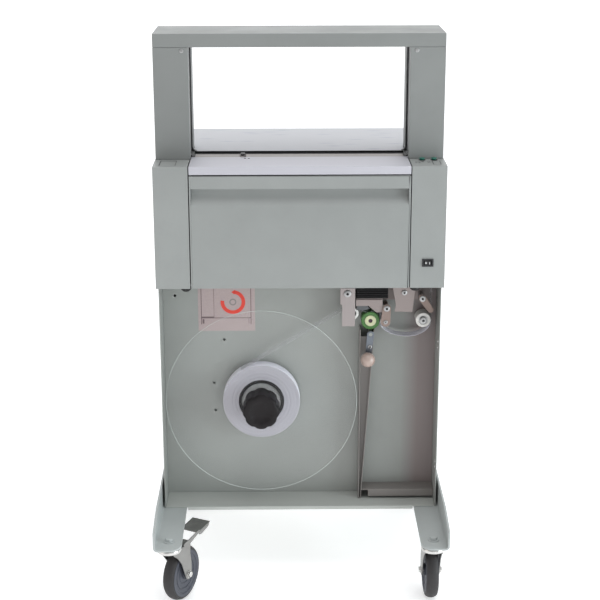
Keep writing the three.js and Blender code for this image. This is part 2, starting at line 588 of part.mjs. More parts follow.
// the tape hanging in a loop from the drive rollers, up past the loop roller into the housing
{
  const HALF = 0.25;
  const route = new THREE.CatmullRomCurve3([
    [173.7, 598], [173.7, 586], [173.7, 575], [175.5, 564], [183, 554], [197, 545.5], [219, 539.5], [242, 539], [264, 545.5],
    [277, 556], [283, 567], [284.3, 577], [284.3, 610], [284.3, 650], [284.3, 690],
  ].map(([x, z]) => new THREE.Vector3(x, 0, z)), false, 'centripetal');
  const steps = 44;
  const side = (sign) => Array.from({ length: steps + 1 }, (_, i) => {
    const p = route.getPointAt(i / steps);
    const t = route.getTangentAt(i / steps);
    return [p.x - sign * HALF * t.z, p.z + sign * HALF * t.x];
  });
  add('tape_loop', alongY([...side(1), ...side(-1).reverse()], ROLLER_FRONT + 1.5, ROLLER_FRONT + 1.5 + TAPE_WIDTH),
    paper);
}

// ---------------------------------------------------------------- feet and casters
{
  const footTop = FOOT_Z + 4;
  const CORNER = 26;
  const inner = FOOT_X - FOOT_WIDTH;
  const base = alongZ([
    [FOOT_X, -FOOT_Y], [FOOT_X, FOOT_Y],
    ...arcPoints(inner + CORNER, FOOT_Y - CORNER, CORNER, 90, 180),
    ...arcPoints(inner + CORNER, -FOOT_Y + CORNER, CORNER, 180, 270),
  ], FOOT_Z, footTop);
  const flange = alongX([
    [-FOOT_Y, FOOT_Z + 1], [FOOT_Y, FOOT_Z + 1], [FOOT_Y, FOOT_Z + 42], [FOOT_Y - 90, FOOT_Z + 58],
    [-FOOT_Y + 90, FOOT_Z + 58], [-FOOT_Y, FOOT_Z + 42],
  ], FOOT_X - 4, FOOT_X);
  const foot = join(base, flange);
  add('foot_right', foot, paint);
  add('foot_left', mirrored(foot), paint);
}

// one caster about its swivel axis, trailing towards +Y
const LEG_IN = WHEEL.width / 2 + 3;
const LEG_OUT = LEG_IN + 3;
const casterFork = () => {
  const { trail, r } = WHEEL;
  const crown = 131;
  const leg = (x0) => alongX([
    [-12, crown + 5], [-12, crown - 6], [trail - 11, r - 4], [trail - 5, r - 11], [trail + 5, r - 11],
    [trail + 11, r - 4], [56, crown - 4], [56, crown + 5],
  ], x0, x0 + 3);
  return join(
    leg(LEG_IN), leg(-LEG_OUT),
    box(-LEG_OUT, LEG_OUT, -12, 56, crown, crown + 5),
    rodZ(0, 0, 24, crown + 1, crown + 12, 24),
    rodZ(0, 0, 20, crown + 11, FOOT_Z - GAP, 24),
    rodX(trail, r, 5, -LEG_OUT - 6, LEG_OUT + 6, 16),
    rodX(trail, r, 9, LEG_OUT - 0.5, LEG_OUT + 5, 6),
    rodX(trail, r, 9, -LEG_OUT - 5, -LEG_OUT + 0.5, 6),
  );
};
const casterWheel = () => {
  const { r, width, trail } = WHEEL;
  const h = width / 2;
  return turnedX([
    [5.4, -h - 1], [15, -h - 1], [15, -h + 4], [46, -h + 2], [r - 4, -h], [r, -h + 8],
    [r, h - 8], [r - 4, h], [46, h - 2], [15, h - 4], [15, h + 1], [5.4, h + 1], [5.4, -h - 1],
  ], trail, r, WHEEL_ROUND);
};
// the brake pedal: an arm outside each leg, and a tread plate between them that reaches back past the wheel
const brakePedal = () => {
  const arm = (x0) => alongX([[26, 131], [26, 139], [84, 146], [92, 146], [92, 140], [56, 131]], x0, x0 + 2);
  return join(
    arm(LEG_OUT + GAP), arm(-LEG_OUT - GAP - 2),
    alongX([[80, 139], [90, 139], [136, 144], [136, 147], [90, 142], [80, 142]], -LEG_OUT - GAP - 1, LEG_OUT + GAP + 1),
  );
};

for (const [corner, x, y, turn] of [
  ['front_left', -CASTER.x, -CASTER.y, -27], ['front_right', CASTER.x, -CASTER.y, 1],
  ['rear_left', -CASTER.x, CASTER.y, 189], ['rear_right', CASTER.x, CASTER.y, 172],
]) {
  const caster = new THREE.Group();
  caster.position.set(x, y, 0);
  caster.rotation.z = THREE.MathUtils.degToRad(turn);
  add(`${corner}_caster_fork`, casterFork(), zinc, caster);
  add(`${corner}_caster_wheel`, casterWheel(), tyreGrey, caster);
  if (corner.startsWith('front')) add(`${corner}_brake_pedal`, brakePedal(), zinc, caster);
  machine.add(caster);
}

export default machine;
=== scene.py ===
import json
import math

import bpy
import bmesh
from mathutils import Matrix, Vector


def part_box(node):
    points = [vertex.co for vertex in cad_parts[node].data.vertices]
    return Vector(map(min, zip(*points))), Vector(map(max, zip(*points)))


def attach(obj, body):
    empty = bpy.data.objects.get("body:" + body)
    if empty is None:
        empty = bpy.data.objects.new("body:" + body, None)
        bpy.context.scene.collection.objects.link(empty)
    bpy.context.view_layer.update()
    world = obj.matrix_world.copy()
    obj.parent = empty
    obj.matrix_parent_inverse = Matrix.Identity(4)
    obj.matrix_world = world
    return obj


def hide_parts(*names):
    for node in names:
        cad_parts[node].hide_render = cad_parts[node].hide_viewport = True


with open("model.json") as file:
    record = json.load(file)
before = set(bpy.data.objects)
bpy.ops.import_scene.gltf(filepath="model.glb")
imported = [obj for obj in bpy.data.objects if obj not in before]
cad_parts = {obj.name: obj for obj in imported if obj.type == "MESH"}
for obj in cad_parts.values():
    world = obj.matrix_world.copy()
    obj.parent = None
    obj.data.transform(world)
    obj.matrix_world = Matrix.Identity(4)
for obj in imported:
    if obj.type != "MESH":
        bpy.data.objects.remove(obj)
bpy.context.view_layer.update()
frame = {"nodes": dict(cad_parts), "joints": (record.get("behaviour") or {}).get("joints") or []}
nodes = frame["nodes"]
scene = bpy.context.scene
MM = 0.001
TAU = math.tau
FRAME = "machine_frame"        # the body that carries everything that doesn't move


# ------------------------------------------------------------------ mesh helpers
def finish(name, bm, material, body, replaces=(), bevel=0.0, segments=2, smooth=40.0):
    """Turns bm into a shown piece that rides on a body. bevel rounds every edge sharper than 30 degrees."""
    bmesh.ops.remove_doubles(bm, verts=bm.verts, dist=1e-6)
    bmesh.ops.recalc_face_normals(bm, faces=bm.faces)
    mesh = bpy.data.meshes.new(name)
    bm.to_mesh(mesh)
    bm.free()
    for m in material if isinstance(material, (list, tuple)) else [material]:
        mesh.materials.append(m)
    obj = bpy.data.objects.new(name, mesh)
    scene.collection.objects.link(obj)
    mesh.shade_smooth()
    mesh.set_sharp_from_angle(angle=math.radians(smooth))
    if bevel:
        round_edges(obj, bevel, segments)
    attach(obj, body)
    if replaces:
        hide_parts(*([replaces] if isinstance(replaces, str) else replaces))
    return obj


def round_edges(obj, width, segments=2):
    mod = obj.modifiers.new("rounded_edges", "BEVEL")
    mod.width = width
    mod.segments = segments
    mod.limit_method = "ANGLE"
    mod.angle_limit = math.radians(30)
    mod.harden_normals = True
    mod.miter_outer = "MITER_ARC"


def dress(node, material, width):
    """A CAD node keeps its mesh and gets rounded edges and a finish; width 0 leaves its edges crisp."""
    obj = nodes[node]
    obj.data.materials.clear()
    obj.data.materials.append(material)
    if not width:
        obj.data.shade_flat()
        return
    obj.data.shade_smooth()
    weld = obj.modifiers.new("weld", "WELD")
    weld.merge_threshold = 1e-5
    flat = obj.modifiers.new("flat_faces", "DECIMATE")
    flat.decimate_type = "DISSOLVE"
    flat.angle_limit = math.radians(1)
    round_edges(obj, width)
    obj.modifiers.new("flat_shading", "WEIGHTED_NORMAL")


def polar(x, y, r, angle):
    return x + r * math.cos(angle), y + r * math.sin(angle)


def lathe(bm, profile, centre, axis="Y", segments=96, index=0):
    """Turns [radius, distance] pairs about an axis through centre. The profile closes on itself or on the axis."""
    turn = {"X": Matrix.Rotation(math.pi / 2, 4, "Y"), "Y": Matrix.Rotation(-math.pi / 2, 4, "X"),
            "Z": Matrix.Identity(4)}[axis]
    place = Matrix.Translation(centre) @ turn
    rings = []
    for r, t in profile:
        if r < 1e-7:
            rings.append([bm.verts.new(place @ Vector((0, 0, t)))])
        else:
            rings.append([bm.verts.new(place @ Vector((*polar(0, 0, r, TAU * i / segments), t)))
                          for i in range(segments)])
    for a, b in zip(rings, rings[1:]):
        for i in range(segments):
            j = (i + 1) % segments
            corners = [a[i % len(a)], a[j % len(a)], b[j % len(b)], b[i % len(b)]]
            kept = [v for k, v in enumerate(corners) if v not in corners[:k]]
            if len(kept) > 2:
                bm.faces.new(kept).material_index = index


def ring(r_in, r_out, t0, t1):
    return [(r_in, t0), (r_out, t0), (r_out, t1), (r_in, t1), (r_in, t0)]


def disc(radius, t0, t1):
    return [(0, t0), (radius, t0), (radius, t1), (0, t1)]


def mm(pairs):
    """Pairs of millimetres as metres."""
    return [(a * MM, b * MM) for a, b in pairs]


def from_y(y, pairs):
    """A turned profile: radius and distance past y, both in millimetres, as metres."""
    return [(r * MM, y + t * MM) for r, t in pairs]


def bridge(bm, loops, index=0):
    """Faces from each closed loop of vertices to the next."""
    n = len(loops[0])
    for a, b in zip(loops, loops[1:]):
        for i in range(n):
            j = (i + 1) % n
            bm.faces.new([a[i], a[j], b[j], b[i]]).material_index = index


def prism(bm, points, plane, t0, t1, index=0):
    """Pushes an outline, drawn in plane XZ, YZ or XY, along the third axis from t0 to t1."""
    put = {"XZ": lambda u, v, t: (u, t, v), "YZ": lambda u, v, t: (t, u, v), "XY": lambda u, v, t: (u, v, t)}[plane]
    ends = [[bm.verts.new(put(u, v, t)) for u, v in points] for t in (t0, t1)]
    for end in ends:
        bm.faces.new(end).material_index = index
    bridge(bm, ends, index)


def block(bm, low, high, index=0):
    prism(bm, [(low[0], low[1]), (high[0], low[1]), (high[0], high[1]), (low[0], high[1])], "XY", low[2], high[2],
          index)


def arc(cx, cy, r, start, end, count=12):
    """Points on a round stretch, angles in degrees."""
    return [polar(cx, cy, r, math.radians(start + (end - start) * i / count)) for i in range(count + 1)]


def rounded_box(cx, cy, w, h, r):
    """Outline of a rectangle with round corners."""
    x, y = w / 2 - r, h / 2 - r
    turns = ((1, 1, 0), (-1, 1, 90), (-1, -1, 180), (1, -1, 270))
    return [p for i, j, start in turns for p in arc(cx + i * x, cy + j * y, r, start, start + 90, 6)]


def fastener(bm, centre, normal, radius, height, drive="cross", index=0, index_dark=None):
    """A screw head with a domed edge and a recess: a cross, a hex socket, or none on a hex bolt."""
    z = Vector(normal).normalized()
    x = z.orthogonal().normalized()
    y = z.cross(x)
    centre = Vector(centre)
    put = lambda u, v, w: centre + x * u + y * v + z * w
    sides = 6 if drive == "hexbolt" else 32
    circle = lambda r, w: [bm.verts.new(put(*polar(0, 0, r, TAU * i / sides), w)) for i in range(sides)]
    if drive == "hexbolt":
        levels = [(radius, 0), (radius, height * 0.85), (radius * 0.9, height)]
    else:
        levels = [(radius, 0), (radius, height * 0.35), (radius * 0.93, height * 0.7), (radius * 0.62, height)]
    loops = [circle(r, w) for r, w in levels]
    bridge(bm, loops, index)
    bm.faces.new(list(reversed(loops[0]))).material_index = index
    if drive == "hexbolt":
        bm.faces.new(loops[-1]).material_index = index
        return
    if drive == "cross":
        arm, half = radius * 0.48, radius * 0.1
        outline = [(arm, -half), (arm, half), (half, half), (half, arm), (-half, arm), (-half, half), (-arm, half),
                   (-arm, -half), (-half, -half), (-half, -arm), (half, -arm), (half, -half)]
    else:
        outline = [polar(0, 0, radius * 0.42, TAU * i / 6) for i in range(6)]
    mouth = [bm.verts.new(put(u, v, height)) for u, v in outline]
    floor = [bm.verts.new(put(u * 0.8, v * 0.8, height * 0.25)) for u, v in outline]
    n = len(outline)
    edges = [bm.edges.get((loops[-1][i], loops[-1][(i + 1) % sides])) for i in range(sides)]
    edges += [bm.edges.new((mouth[i], mouth[(i + 1) % n])) for i in range(n)]
    made = bmesh.ops.triangle_fill(bm, use_beauty=True, use_dissolve=False, edges=edges)
    for g in made["geom"]:
        if isinstance(g, bmesh.types.BMFace):
            g.material_index = index
    dark = index if index_dark is None else index_dark
    bridge(bm, [mouth, floor], dark)
    bm.faces.new(floor).material_index = dark


def centre_of(node):
    low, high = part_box(node)
    return (low + high) / 2


def joint_at(name):
    """Where a joint of the CAD frame has its axis."""
    return next(j for j in frame["joints"] if j["name"] == name)["pos_m"]


# ------------------------------------------------------------------ shader helpers
def shade(colour, factor):
    return tuple(min(1, c * factor) for c in colour)


class Shader:
    """A node material built step by step. Coordinates are the object's own, in metres."""

    def __init__(self, name):
        self.material = bpy.data.materials.new(name)
        self.material.use_nodes = True
        self.tree = self.material.node_tree
        self.tree.nodes.clear()
        self.out = self.tree.nodes.new("ShaderNodeOutputMaterial")
        self.body = self.tree.nodes.new("ShaderNodeBsdfPrincipled")
        self.tree.links.new(self.body.outputs[0], self.out.inputs["Surface"])
        self.coords = self.tree.nodes.new("ShaderNodeTexCoord").outputs["Object"]
        self.last_bump = None

    def set(self, **values):
        for key, value in values.items():
            socket = self.body.inputs[key.replace("_", " ")]
            if hasattr(value, "is_linked"):
                self.tree.links.new(value, socket)
            else:
                socket.default_value = value
        return self

    def add(self, kind, inputs=(), **settings):
        node = self.tree.nodes.new(kind)
        for key, value in settings.items():
            setattr(node, key, value)
        for key, value in dict(inputs).items():
            if hasattr(value, "is_linked"):
                self.tree.links.new(value, node.inputs[key])
            else:
                node.inputs[key].default_value = value
        return node

    def at(self, scale):
        return self.add("ShaderNodeMapping", {"Vector": self.coords, "Scale": scale}).outputs[0]

    def noise(self, scale, detail=4.0, rough=0.55, vector=None):
        return self.add("ShaderNodeTexNoise", {"Vector": vector or self.coords, "Scale": scale, "Detail": detail,
                                               "Roughness": rough}).outputs["Fac"]

    def layers(self, radius, scale, detail):
        """Noise that changes only with the radius."""
        return self.add("ShaderNodeTexNoise", {"W": self.math("MULTIPLY", radius, scale), "Scale": 1.0,
                                               "Detail": detail}, noise_dimensions="1D").outputs["Fac"]

    def ramp(self, fac, stops):
        node = self.add("ShaderNodeValToRGB", {"Fac": fac})
        ends = node.color_ramp.elements
        while len(ends) < len(stops):
            ends.new(0.5)
        for element, (position, colour) in zip(ends, stops):
            element.position = position
            element.color = colour if len(colour) == 4 else (*colour, 1)
        return node.outputs[0]

    def value_ramp(self, fac, low, high, start=0.0, end=1.0):
        return self.add("ShaderNodeMapRange", {"Value": fac, "From Min": start, "From Max": end, "To Min": low,
                                               "To Max": high}).outputs[0]

    def mix(self, fac, a, b):
        node = self.add("ShaderNodeMix", data_type="RGBA")
        for socket, value in ((node.inputs[0], fac), (node.inputs[6], a), (node.inputs[7], b)):
            if hasattr(value, "is_linked"):
                self.tree.links.new(value, socket)
            else:
                socket.default_value = value if socket.name == "Factor" or len(value) == 4 else (*value, 1)
        return node.outputs[2]

    def math(self, kind, a, b=0.0):
        return self.add("ShaderNodeMath", {0: a, 1: b}, operation=kind).outputs[0]

    def bump(self, height, distance, strength=1.0):
        inputs = {"Height": height, "Distance": distance, "Strength": strength}
        if self.last_bump:
            inputs["Normal"] = self.last_bump
        self.last_bump = self.add("ShaderNodeBump", inputs).outputs[0]
        self.set(Normal=self.last_bump)
        return self


def powder_coat(name, colour, gloss=0.42, depth=0.00012, warm=None):
    """Fine-textured powder coat: orange peel, a little cloudiness, faint handling marks in the gloss.

    The last argument is (x0, x1, colour): the coat turns to that colour between the two places along X, a painted
    shade for the shadow of a wall."""
    s = Shader(name)
    cloud = s.noise(5.0, 3)
    dust = s.noise(38.0, 6, 0.7)
    tone = s.ramp(cloud, [(0.3, shade(colour, 0.93)), (0.7, shade(colour, 1.05))])
    tone = s.mix(s.value_ramp(dust, 0.0, 0.16, 0.5, 0.75), tone, shade(colour, 0.82))
    # painted shade: a colour ramp along X that stands in for a wall's shadow
    if warm:
        along = s.add("ShaderNodeSeparateXYZ", {0: s.coords}).outputs["X"]
        tone = s.mix(s.value_ramp(along, 0.0, 1.0, warm[0], warm[1]), tone, warm[2])
    wiped = s.noise(9.0, 5, 0.6, s.at((1, 1, 0.25)))
    s.set(Base_Color=tone, Roughness=s.value_ramp(wiped, gloss - 0.05, gloss + 0.12, 0.3, 0.7),
          Specular_IOR_Level=0.45)
    s.bump(s.noise(700.0, 2, 0.5), depth, 0.35)
    s.bump(s.noise(6.0, 1), 0.0012, 0.12)
    return s.material


def brushed(name, colour, along="X", rough=0.5, metal=0.6, scuffed=False):
    """Brushed stainless sheet: long streaks along one axis, and a few short scuffs where scuffed is set."""
    s = Shader(name)
    stretch = {"X": (6, 900, 900), "Y": (900, 6, 900), "Z": (900, 900, 6)}[along]
    streaks = s.noise(1.0, 5, 0.65, s.at(stretch))
    broad = s.noise(4.0, 3)
    tone = s.ramp(streaks, [(0.25, shade(colour, 0.92)), (0.75, colour)])
    tone = s.mix(s.value_ramp(broad, 0.0, 0.2, 0.4, 0.8), tone, shade(colour, 0.88))
    if scuffed:
        slanted = s.add("ShaderNodeMapping", {"Vector": s.coords, "Rotation": (0, 0, math.radians(68)),
                                              "Scale": (9, 60, 1)}).outputs[0]
        cells = s.add("ShaderNodeTexVoronoi", {"Vector": slanted, "Scale": 1.0, "Randomness": 0.9},
                      voronoi_dimensions="2D")
        strokes = s.value_ramp(cells.outputs["Distance"], 1.0, 0.0, 0.02, 0.22)
        draw = s.add("ShaderNodeSeparateColor", {0: cells.outputs["Color"]}).outputs[0]
        chosen = s.math("GREATER_THAN", draw, 0.72)
        scuff = s.math("MULTIPLY", s.math("MULTIPLY", strokes, chosen), 0.65)
        tone = s.mix(scuff, tone, (0.25, 0.28, 0.38))
    s.set(Base_Color=tone, Metallic=metal, Roughness=s.value_ramp(streaks, rough - 0.06, rough + 0.12, 0.2, 0.8))
    s.bump(streaks, 0.00004, 0.3)
    return s.material


def zinc_plate(name, colour=(0.52, 0.51, 0.49), rough=0.34):
    """Zinc-plated pressed steel: a fine spangle and uneven gloss."""
    s = Shader(name)
    spangle = s.add("ShaderNodeTexVoronoi", {"Vector": s.coords, "Scale": 260.0}).outputs["Distance"]
    cloud = s.noise(40.0, 5, 0.65)
    tone = s.ramp(cloud, [(0.25, shade(colour, 0.72)), (0.75, colour)])
    tone = s.mix(s.value_ramp(spangle, 0.0, 0.25), tone, shade(colour, 0.8))
    s.set(Base_Color=tone, Metallic=1.0, Roughness=s.value_ramp(cloud, rough - 0.08, rough + 0.16, 0.3, 0.7))
    s.bump(s.noise(500.0, 3), 0.00004, 0.35)
    return s.material


def moulded(name, colour, rough=0.42, grain=1400.0, shine=0.5):
    """Moulded plastic with a fine spark-eroded grain."""
    s = Shader(name)
    cloud = s.noise(60.0, 3)
    tone = s.ramp(cloud, [(0.3, shade(colour, 0.85)), (0.7, shade(colour, 1.12))])
    s.set(Base_Color=tone, Roughness=s.value_ramp(cloud, rough - 0.04, rough + 0.06, 0.3, 0.7),
          Specular_IOR_Level=shine)
    s.bump(s.noise(grain, 2), 0.00006, 0.4)
    return s.material


def rubber(name, colour, rough=0.6):
    s = Shader(name)
    dust = s.noise(120.0, 6, 0.7)
    dusty = tuple(min(1, c * 1.7 + 0.02) for c in colour)
    tone = s.mix(s.value_ramp(dust, 0.0, 0.4, 0.48, 0.75), colour, dusty)
    s.set(Base_Color=tone, Roughness=s.value_ramp(dust, rough - 0.06, rough + 0.1, 0.3, 0.7))
    s.bump(s.noise(900.0, 3), 0.0001, 0.3)
    return s.material


def wound_paper(name, centre):
    """The roll of paper tape: fine rings where its layers end. The outside of the roll takes a lighter paper, a
    painted highlight.
    """
    s = Shader(name)
    flat = s.add("ShaderNodeVectorMath", {0: s.coords, 1: (centre.x, 0, centre.z)}, operation="SUBTRACT").outputs[0]
    flat = s.add("ShaderNodeVectorMath", {0: flat, 1: (1, 0, 1)}, operation="MULTIPLY").outputs[0]
    radius = s.add("ShaderNodeVectorMath", {0: flat}, operation="LENGTH").outputs["Value"]
    layers = s.layers(radius, 2600.0, 4.0)
    bands = s.layers(radius, 240.0, 2.0)
    tone = s.ramp(layers, [(0.2, (0.34, 0.33, 0.37)), (0.8, (0.49, 0.48, 0.52))])
    tone = s.mix(s.value_ramp(bands, 0.0, 0.45, 0.45, 0.75), tone, (0.31, 0.30, 0.34))
    s.set(Base_Color=tone, Roughness=0.62)
    s.bump(layers, 0.00025, 0.5)
    s.bump(s.noise(60.0, 3), 0.0003, 0.15)
    return s.material


def plain_paper(name, bright=1.0):
    s = Shader(name)
    fibres = s.noise(300.0, 6, 0.7)
    pale, paler = shade((0.66, 0.65, 0.72), bright), shade((0.78, 0.77, 0.84), bright)
    s.set(Base_Color=s.ramp(fibres, [(0.3, pale), (0.7, paler)]), Roughness=0.55)
    s.set(Subsurface_Weight=0.1, Subsurface_Radius=(0.002, 0.002, 0.002))
    s.bump(fibres, 0.00005, 0.3)
    return s.material


def clear_plastic(name, alpha, tint=(0.93, 0.97, 0.97), rough=0.06):
    """Clear sheet: mostly see-through, with a slightly uneven gloss."""
    s = Shader(name)
    haze = s.noise(14.0, 4)
    s.set(Base_Color=(*tint, 1), Roughness=s.value_ramp(haze, rough, rough + 0.08, 0.4, 0.8))
    s.set(Alpha=s.value_ramp(haze, alpha, alpha * 1.15, 0.4, 0.8), Specular_IOR_Level=0.25)
    s.bump(haze, 0.0002, 0.1)
    return s.material


def urethane(name, colour):
    s = Shader(name)
    cloud = s.noise(90.0, 4)
    s.set(Base_Color=s.ramp(cloud, [(0.3, shade(colour, 0.8)), (0.7, colour)]), Roughness=0.38)
    s.set(Subsurface_Weight=0.25, Subsurface_Radius=(0.003, 0.006, 0.002))
    s.bump(s.noise(400.0, 3), 0.0001, 0.25)
    return s.material


def printed(name, colour):
    s = Shader(name)
    fade = s.noise(220.0, 5, 0.7)
    s.set(Base_Color=s.ramp(fade, [(0.25, shade(colour, 0.85)), (0.75, colour)]), Roughness=0.5)
    return s.material


COVER = (0.285, 0.297, 0.290)
CABINET = (0.300, 0.312, 0.296)
paint = powder_coat("cover_paint", COVER)
# the arch takes the cover paint darkened: partly a real difference in the paint, partly painted shade for the lesser
# light that reaches the higher arch
arch_paint = powder_coat("arch_paint", shade(COVER, 0.76))
cabinet_paint = powder_coat("cabinet_paint", CABINET, gloss=0.4)
# the divider and the tape box take a dark brown: painted shade for the recessed tape bay, which the cabinet's right
# wall shadows
divider_paint = powder_coat("divider_paint", (0.215, 0.20, 0.19), gloss=0.4)
foot_paint = powder_coat("foot_paint", (0.40, 0.425, 0.42))
box_paint = powder_coat("box_paint", (0.205, 0.19, 0.18), gloss=0.4)
# the back plate turns warm brown towards the cabinet's right wall: painted shade for that wall's shadow
back_paint = powder_coat("back_paint", CABINET, gloss=0.4, warm=(0.225, 0.262, (0.225, 0.19, 0.185)))
table_steel = brushed("table_stainless", (0.55, 0.545, 0.59))
rear_table_steel = brushed("rear_table_stainless", (0.53, 0.535, 0.56), scuffed=True)
bracket_steel = brushed("bracket_stainless", (0.36, 0.32, 0.315), along="Z", rough=0.42, metal=0.5)
brown_steel = brushed("oiled_steel", (0.27, 0.205, 0.18), along="Z", rough=0.42, metal=0.4)
guard_steel = brushed("guard_steel", (0.30, 0.255, 0.245), rough=0.42, metal=0.4)
slot_steel = brushed("slot_steel", (0.30, 0.27, 0.26), rough=0.4, metal=0.6)
tray_paint = powder_coat("tray_paint", shade(CABINET, 1.45), gloss=0.4)
plate_steel = zinc_plate("machined_steel", (0.46, 0.42, 0.40), 0.36)
zinc = zinc_plate("zinc_plate", (0.37, 0.365, 0.355))
chrome = zinc_plate("polished_steel", (0.74, 0.73, 0.71), 0.16)
dish_grey = moulded("dish_grey", (0.42, 0.42, 0.42), rough=0.3, shine=0.8)
satin_grey = zinc_plate("satin_grey", (0.50, 0.50, 0.50), 0.34)
casting = powder_coat("machine_grey", (0.10, 0.105, 0.11), gloss=0.5, depth=0.0003)
black = moulded("black_plastic", (0.016, 0.016, 0.018))
knob_black = moulded("knob_black", (0.010, 0.008, 0.009), rough=0.4, grain=900.0, shine=0.22)
fin_black = moulded("coil_black", (0.012, 0.011, 0.012), rough=0.5, shine=0.25)
track_black = moulded("track_black", (0.012, 0.012, 0.013), rough=0.5, shine=0.2)
white_plastic = moulded("white_acetal", (0.72, 0.71, 0.68), rough=0.36)
cream_hub = moulded("cream_hub", (0.55, 0.56, 0.36), rough=0.4)
purple_hub = moulded("purple_hub", (0.055, 0.035, 0.05), rough=0.4, shine=0.3)
green_button = moulded("green_button", (0.025, 0.15, 0.11), rough=0.4)
green_tread = urethane("green_urethane", (0.055, 0.17, 0.035))
tyre = rubber("caster_tread", (0.026, 0.024, 0.025))
wheel_face = moulded("caster_face", (0.070, 0.074, 0.092), rough=0.5, grain=700.0, shine=0.3)
slate = moulded("slate_plastic", (0.085, 0.09, 0.095), rough=0.45)
black_rubber = rubber("black_rubber", (0.012, 0.012, 0.012), 0.7)
paper = plain_paper("paper_tape")
# the roll's outside: the tape paper made brighter, a painted highlight for the light falling on it from above
roll_side = plain_paper("roll_side", 1.12)
thin_tape = clear_plastic("thin_tape", 0.2, (0.80, 0.80, 0.84), 0.4)
roll_paper = wound_paper("wound_paper", centre_of("tape_roll"))
clear_face = clear_plastic("clear_acrylic", 0.015, rough=0.3)
clear_edge = clear_plastic("acrylic_edge", 0.45, (0.80, 0.86, 0.83), 0.3)
label_sheet = printed("label_sheet", (0.44, 0.355, 0.35))
label_line = printed("label_line", (0.16, 0.11, 0.12))
label_red = printed("label_red", (0.72, 0.05, 0.03))
label_grey = printed("label_grey", (0.25, 0.23, 0.23))
mark_grey = printed("mark_grey", (0.085, 0.085, 0.085))
ball_satin = moulded("satin_ball", (0.40, 0.30, 0.26), rough=0.32, shine=0.9)
# the lever's steel is darkened to blue-grey: painted shade for the shadow the lever sits in
lever_steel = zinc_plate("lever_steel", (0.20, 0.22, 0.25), 0.36)
mark_white = printed("mark_white", (0.8, 0.8, 0.8))


# ------------------------------------------------------------------ CAD nodes that keep their shape
finishes = [
    (cabinet_paint, 0.0006, "cabinet_left_wall cabinet_right_wall upper_frame"),
    (back_paint, 0.0006, "back_plate"),
    (cabinet_paint, 0, "rear_cover"),
    (paint, 0, "rear_upper_cover"),
    # divider and tape box: dark brown paint that stands in for the bay's shade
    (divider_paint, 0.0006, "bay_divider"),
    (box_paint, 0.0006, "tape_box"),
    (tray_paint, 0.0006, "bottom_tray"),
    (paint, 0.0009, "left_side_cover right_side_cover"),
    (arch_paint, 0.0009, "arch_left_upright arch_right_upright arch_header"),
    (table_steel, 0.0008, "front_table"),
    (rear_table_steel, 0.0008, "rear_table"),
    (plate_steel, 0.0004, "sealing_head press_head cam_shaft"),
    (bracket_steel, 0.0005, "guide_bracket"),
    (guard_steel, 0.0005, "feed_plate"),
    (brown_steel, 0.0005, "loop_arm"),
    (slot_steel, 0.0004, "slot_plate"),
    (casting, 0.002, "main_motor control_box feed_motor"),
    (track_black, 0.0005, "arch_track track_bottom"),
    (black, 0.0006, "switch_bezel power_rocker power_inlet"),
]
for material, width, names in finishes:
    for node in names.split():
        dress(node, material, width)


# ------------------------------------------------------------------ front cover
def front_cover():
    """The tilting cover: a folded shell with a proud strip, and a scooped finger pull closed at both ends."""
    low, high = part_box("front_cover")
    thick = 2 * MM
    strip, pull, scoop = high.z - 27 * MM, high.z - 61 * MM, 17 * MM

    def scoop_arc(inset, count=24):
        return [(low.y + inset + (scoop - inset) * (0.5 - 0.5 * math.cos(math.pi * (i / count) ** 0.62)),
                 pull + (strip - inset - pull) * i / count) for i in range(count, -1, -1)]

    deep = low.y + scoop
    skin = ([(high.y, high.z), (low.y, high.z), (low.y, strip), (deep, strip)] + scoop_arc(0)[1:]
            + [(low.y, low.z), (high.y, low.z)])
    inside = ([(high.y, low.z + thick), (low.y + thick, low.z + thick)] + scoop_arc(thick)[::-1][:-4]
              + [(deep + thick, strip - 4 * MM), (deep + thick, strip + thick), (low.y + thick, strip + thick),
                 (low.y + thick, high.z - thick), (high.y, high.z - thick)])
    bm = bmesh.new()
    prism(bm, skin + inside, "YZ", low.x + 3 * MM, high.x - 3 * MM)
    outer = [(high.y, high.z), (low.y, high.z), (low.y, low.z), (high.y, low.z)]
    for x0, x1 in ((low.x, low.x + 3 * MM), (high.x - 3 * MM, high.x)):
        prism(bm, outer, "YZ", x0, x1)
    finish("front_cover_shell", bm, paint, "front_door", "front_cover", bevel=0.9 * MM)


front_cover()


# ------------------------------------------------------------------ feet
def foot(side):
    """Plate under the cabinet with round inner corners, and a bend up to an outer flange that tapers at its ends."""
    node = f"foot_{side}"
    low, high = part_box(node)
    sign = -1 if side == "left" else 1
    outer = low.x if side == "left" else high.x
    inner = high.x if side == "left" else low.x
    thick, bend, corner = 4 * MM, 9 * MM, 26 * MM
    taper, drop = 90 * MM, 16 * MM
    ends = [(corner - u, corner - v) for u, v in arc(0, 0, corner, 0, 90, 9)]
    stations = [(low.y + along, across) for along, across in ends]
    stations += [(low.y + taper, 0), (high.y - taper, 0)] + [(high.y - along, across) for along, across in ends[::-1]]
    bm = bmesh.new()
    loops = []
    for y, across in stations:
        from_end = min(y - low.y, high.y - y)
        top = high.z - drop * max(0, 1 - from_end / taper)
        hub = (outer - sign * bend, low.z + bend)
        outside, inside = ([(hub[0] + sign * u, hub[1] + v) for u, v in arc(0, 0, r, -90, 0, 6)]
                           for r in (bend, bend - thick))
        edge = inner + sign * across
        section = ([(edge, low.z)] + outside + [(outer, top), (outer - sign * thick, top)] + inside[::-1]
                   + [(edge, low.z + thick)])
        loops.append([bm.verts.new((x, y, z)) for x, z in section])
    bridge(bm, loops)
    bm.faces.new(loops[0])
    bm.faces.new(loops[-1])
    finish(f"foot_{side}_plate", bm, foot_paint, FRAME, node, bevel=0.9 * MM)


foot("left")
foot("right")


# ------------------------------------------------------------------ casters
CORNERS = [j["name"].replace("_caster_swivel", "") for j in frame["joints"] if j["name"].endswith("_caster_swivel")]


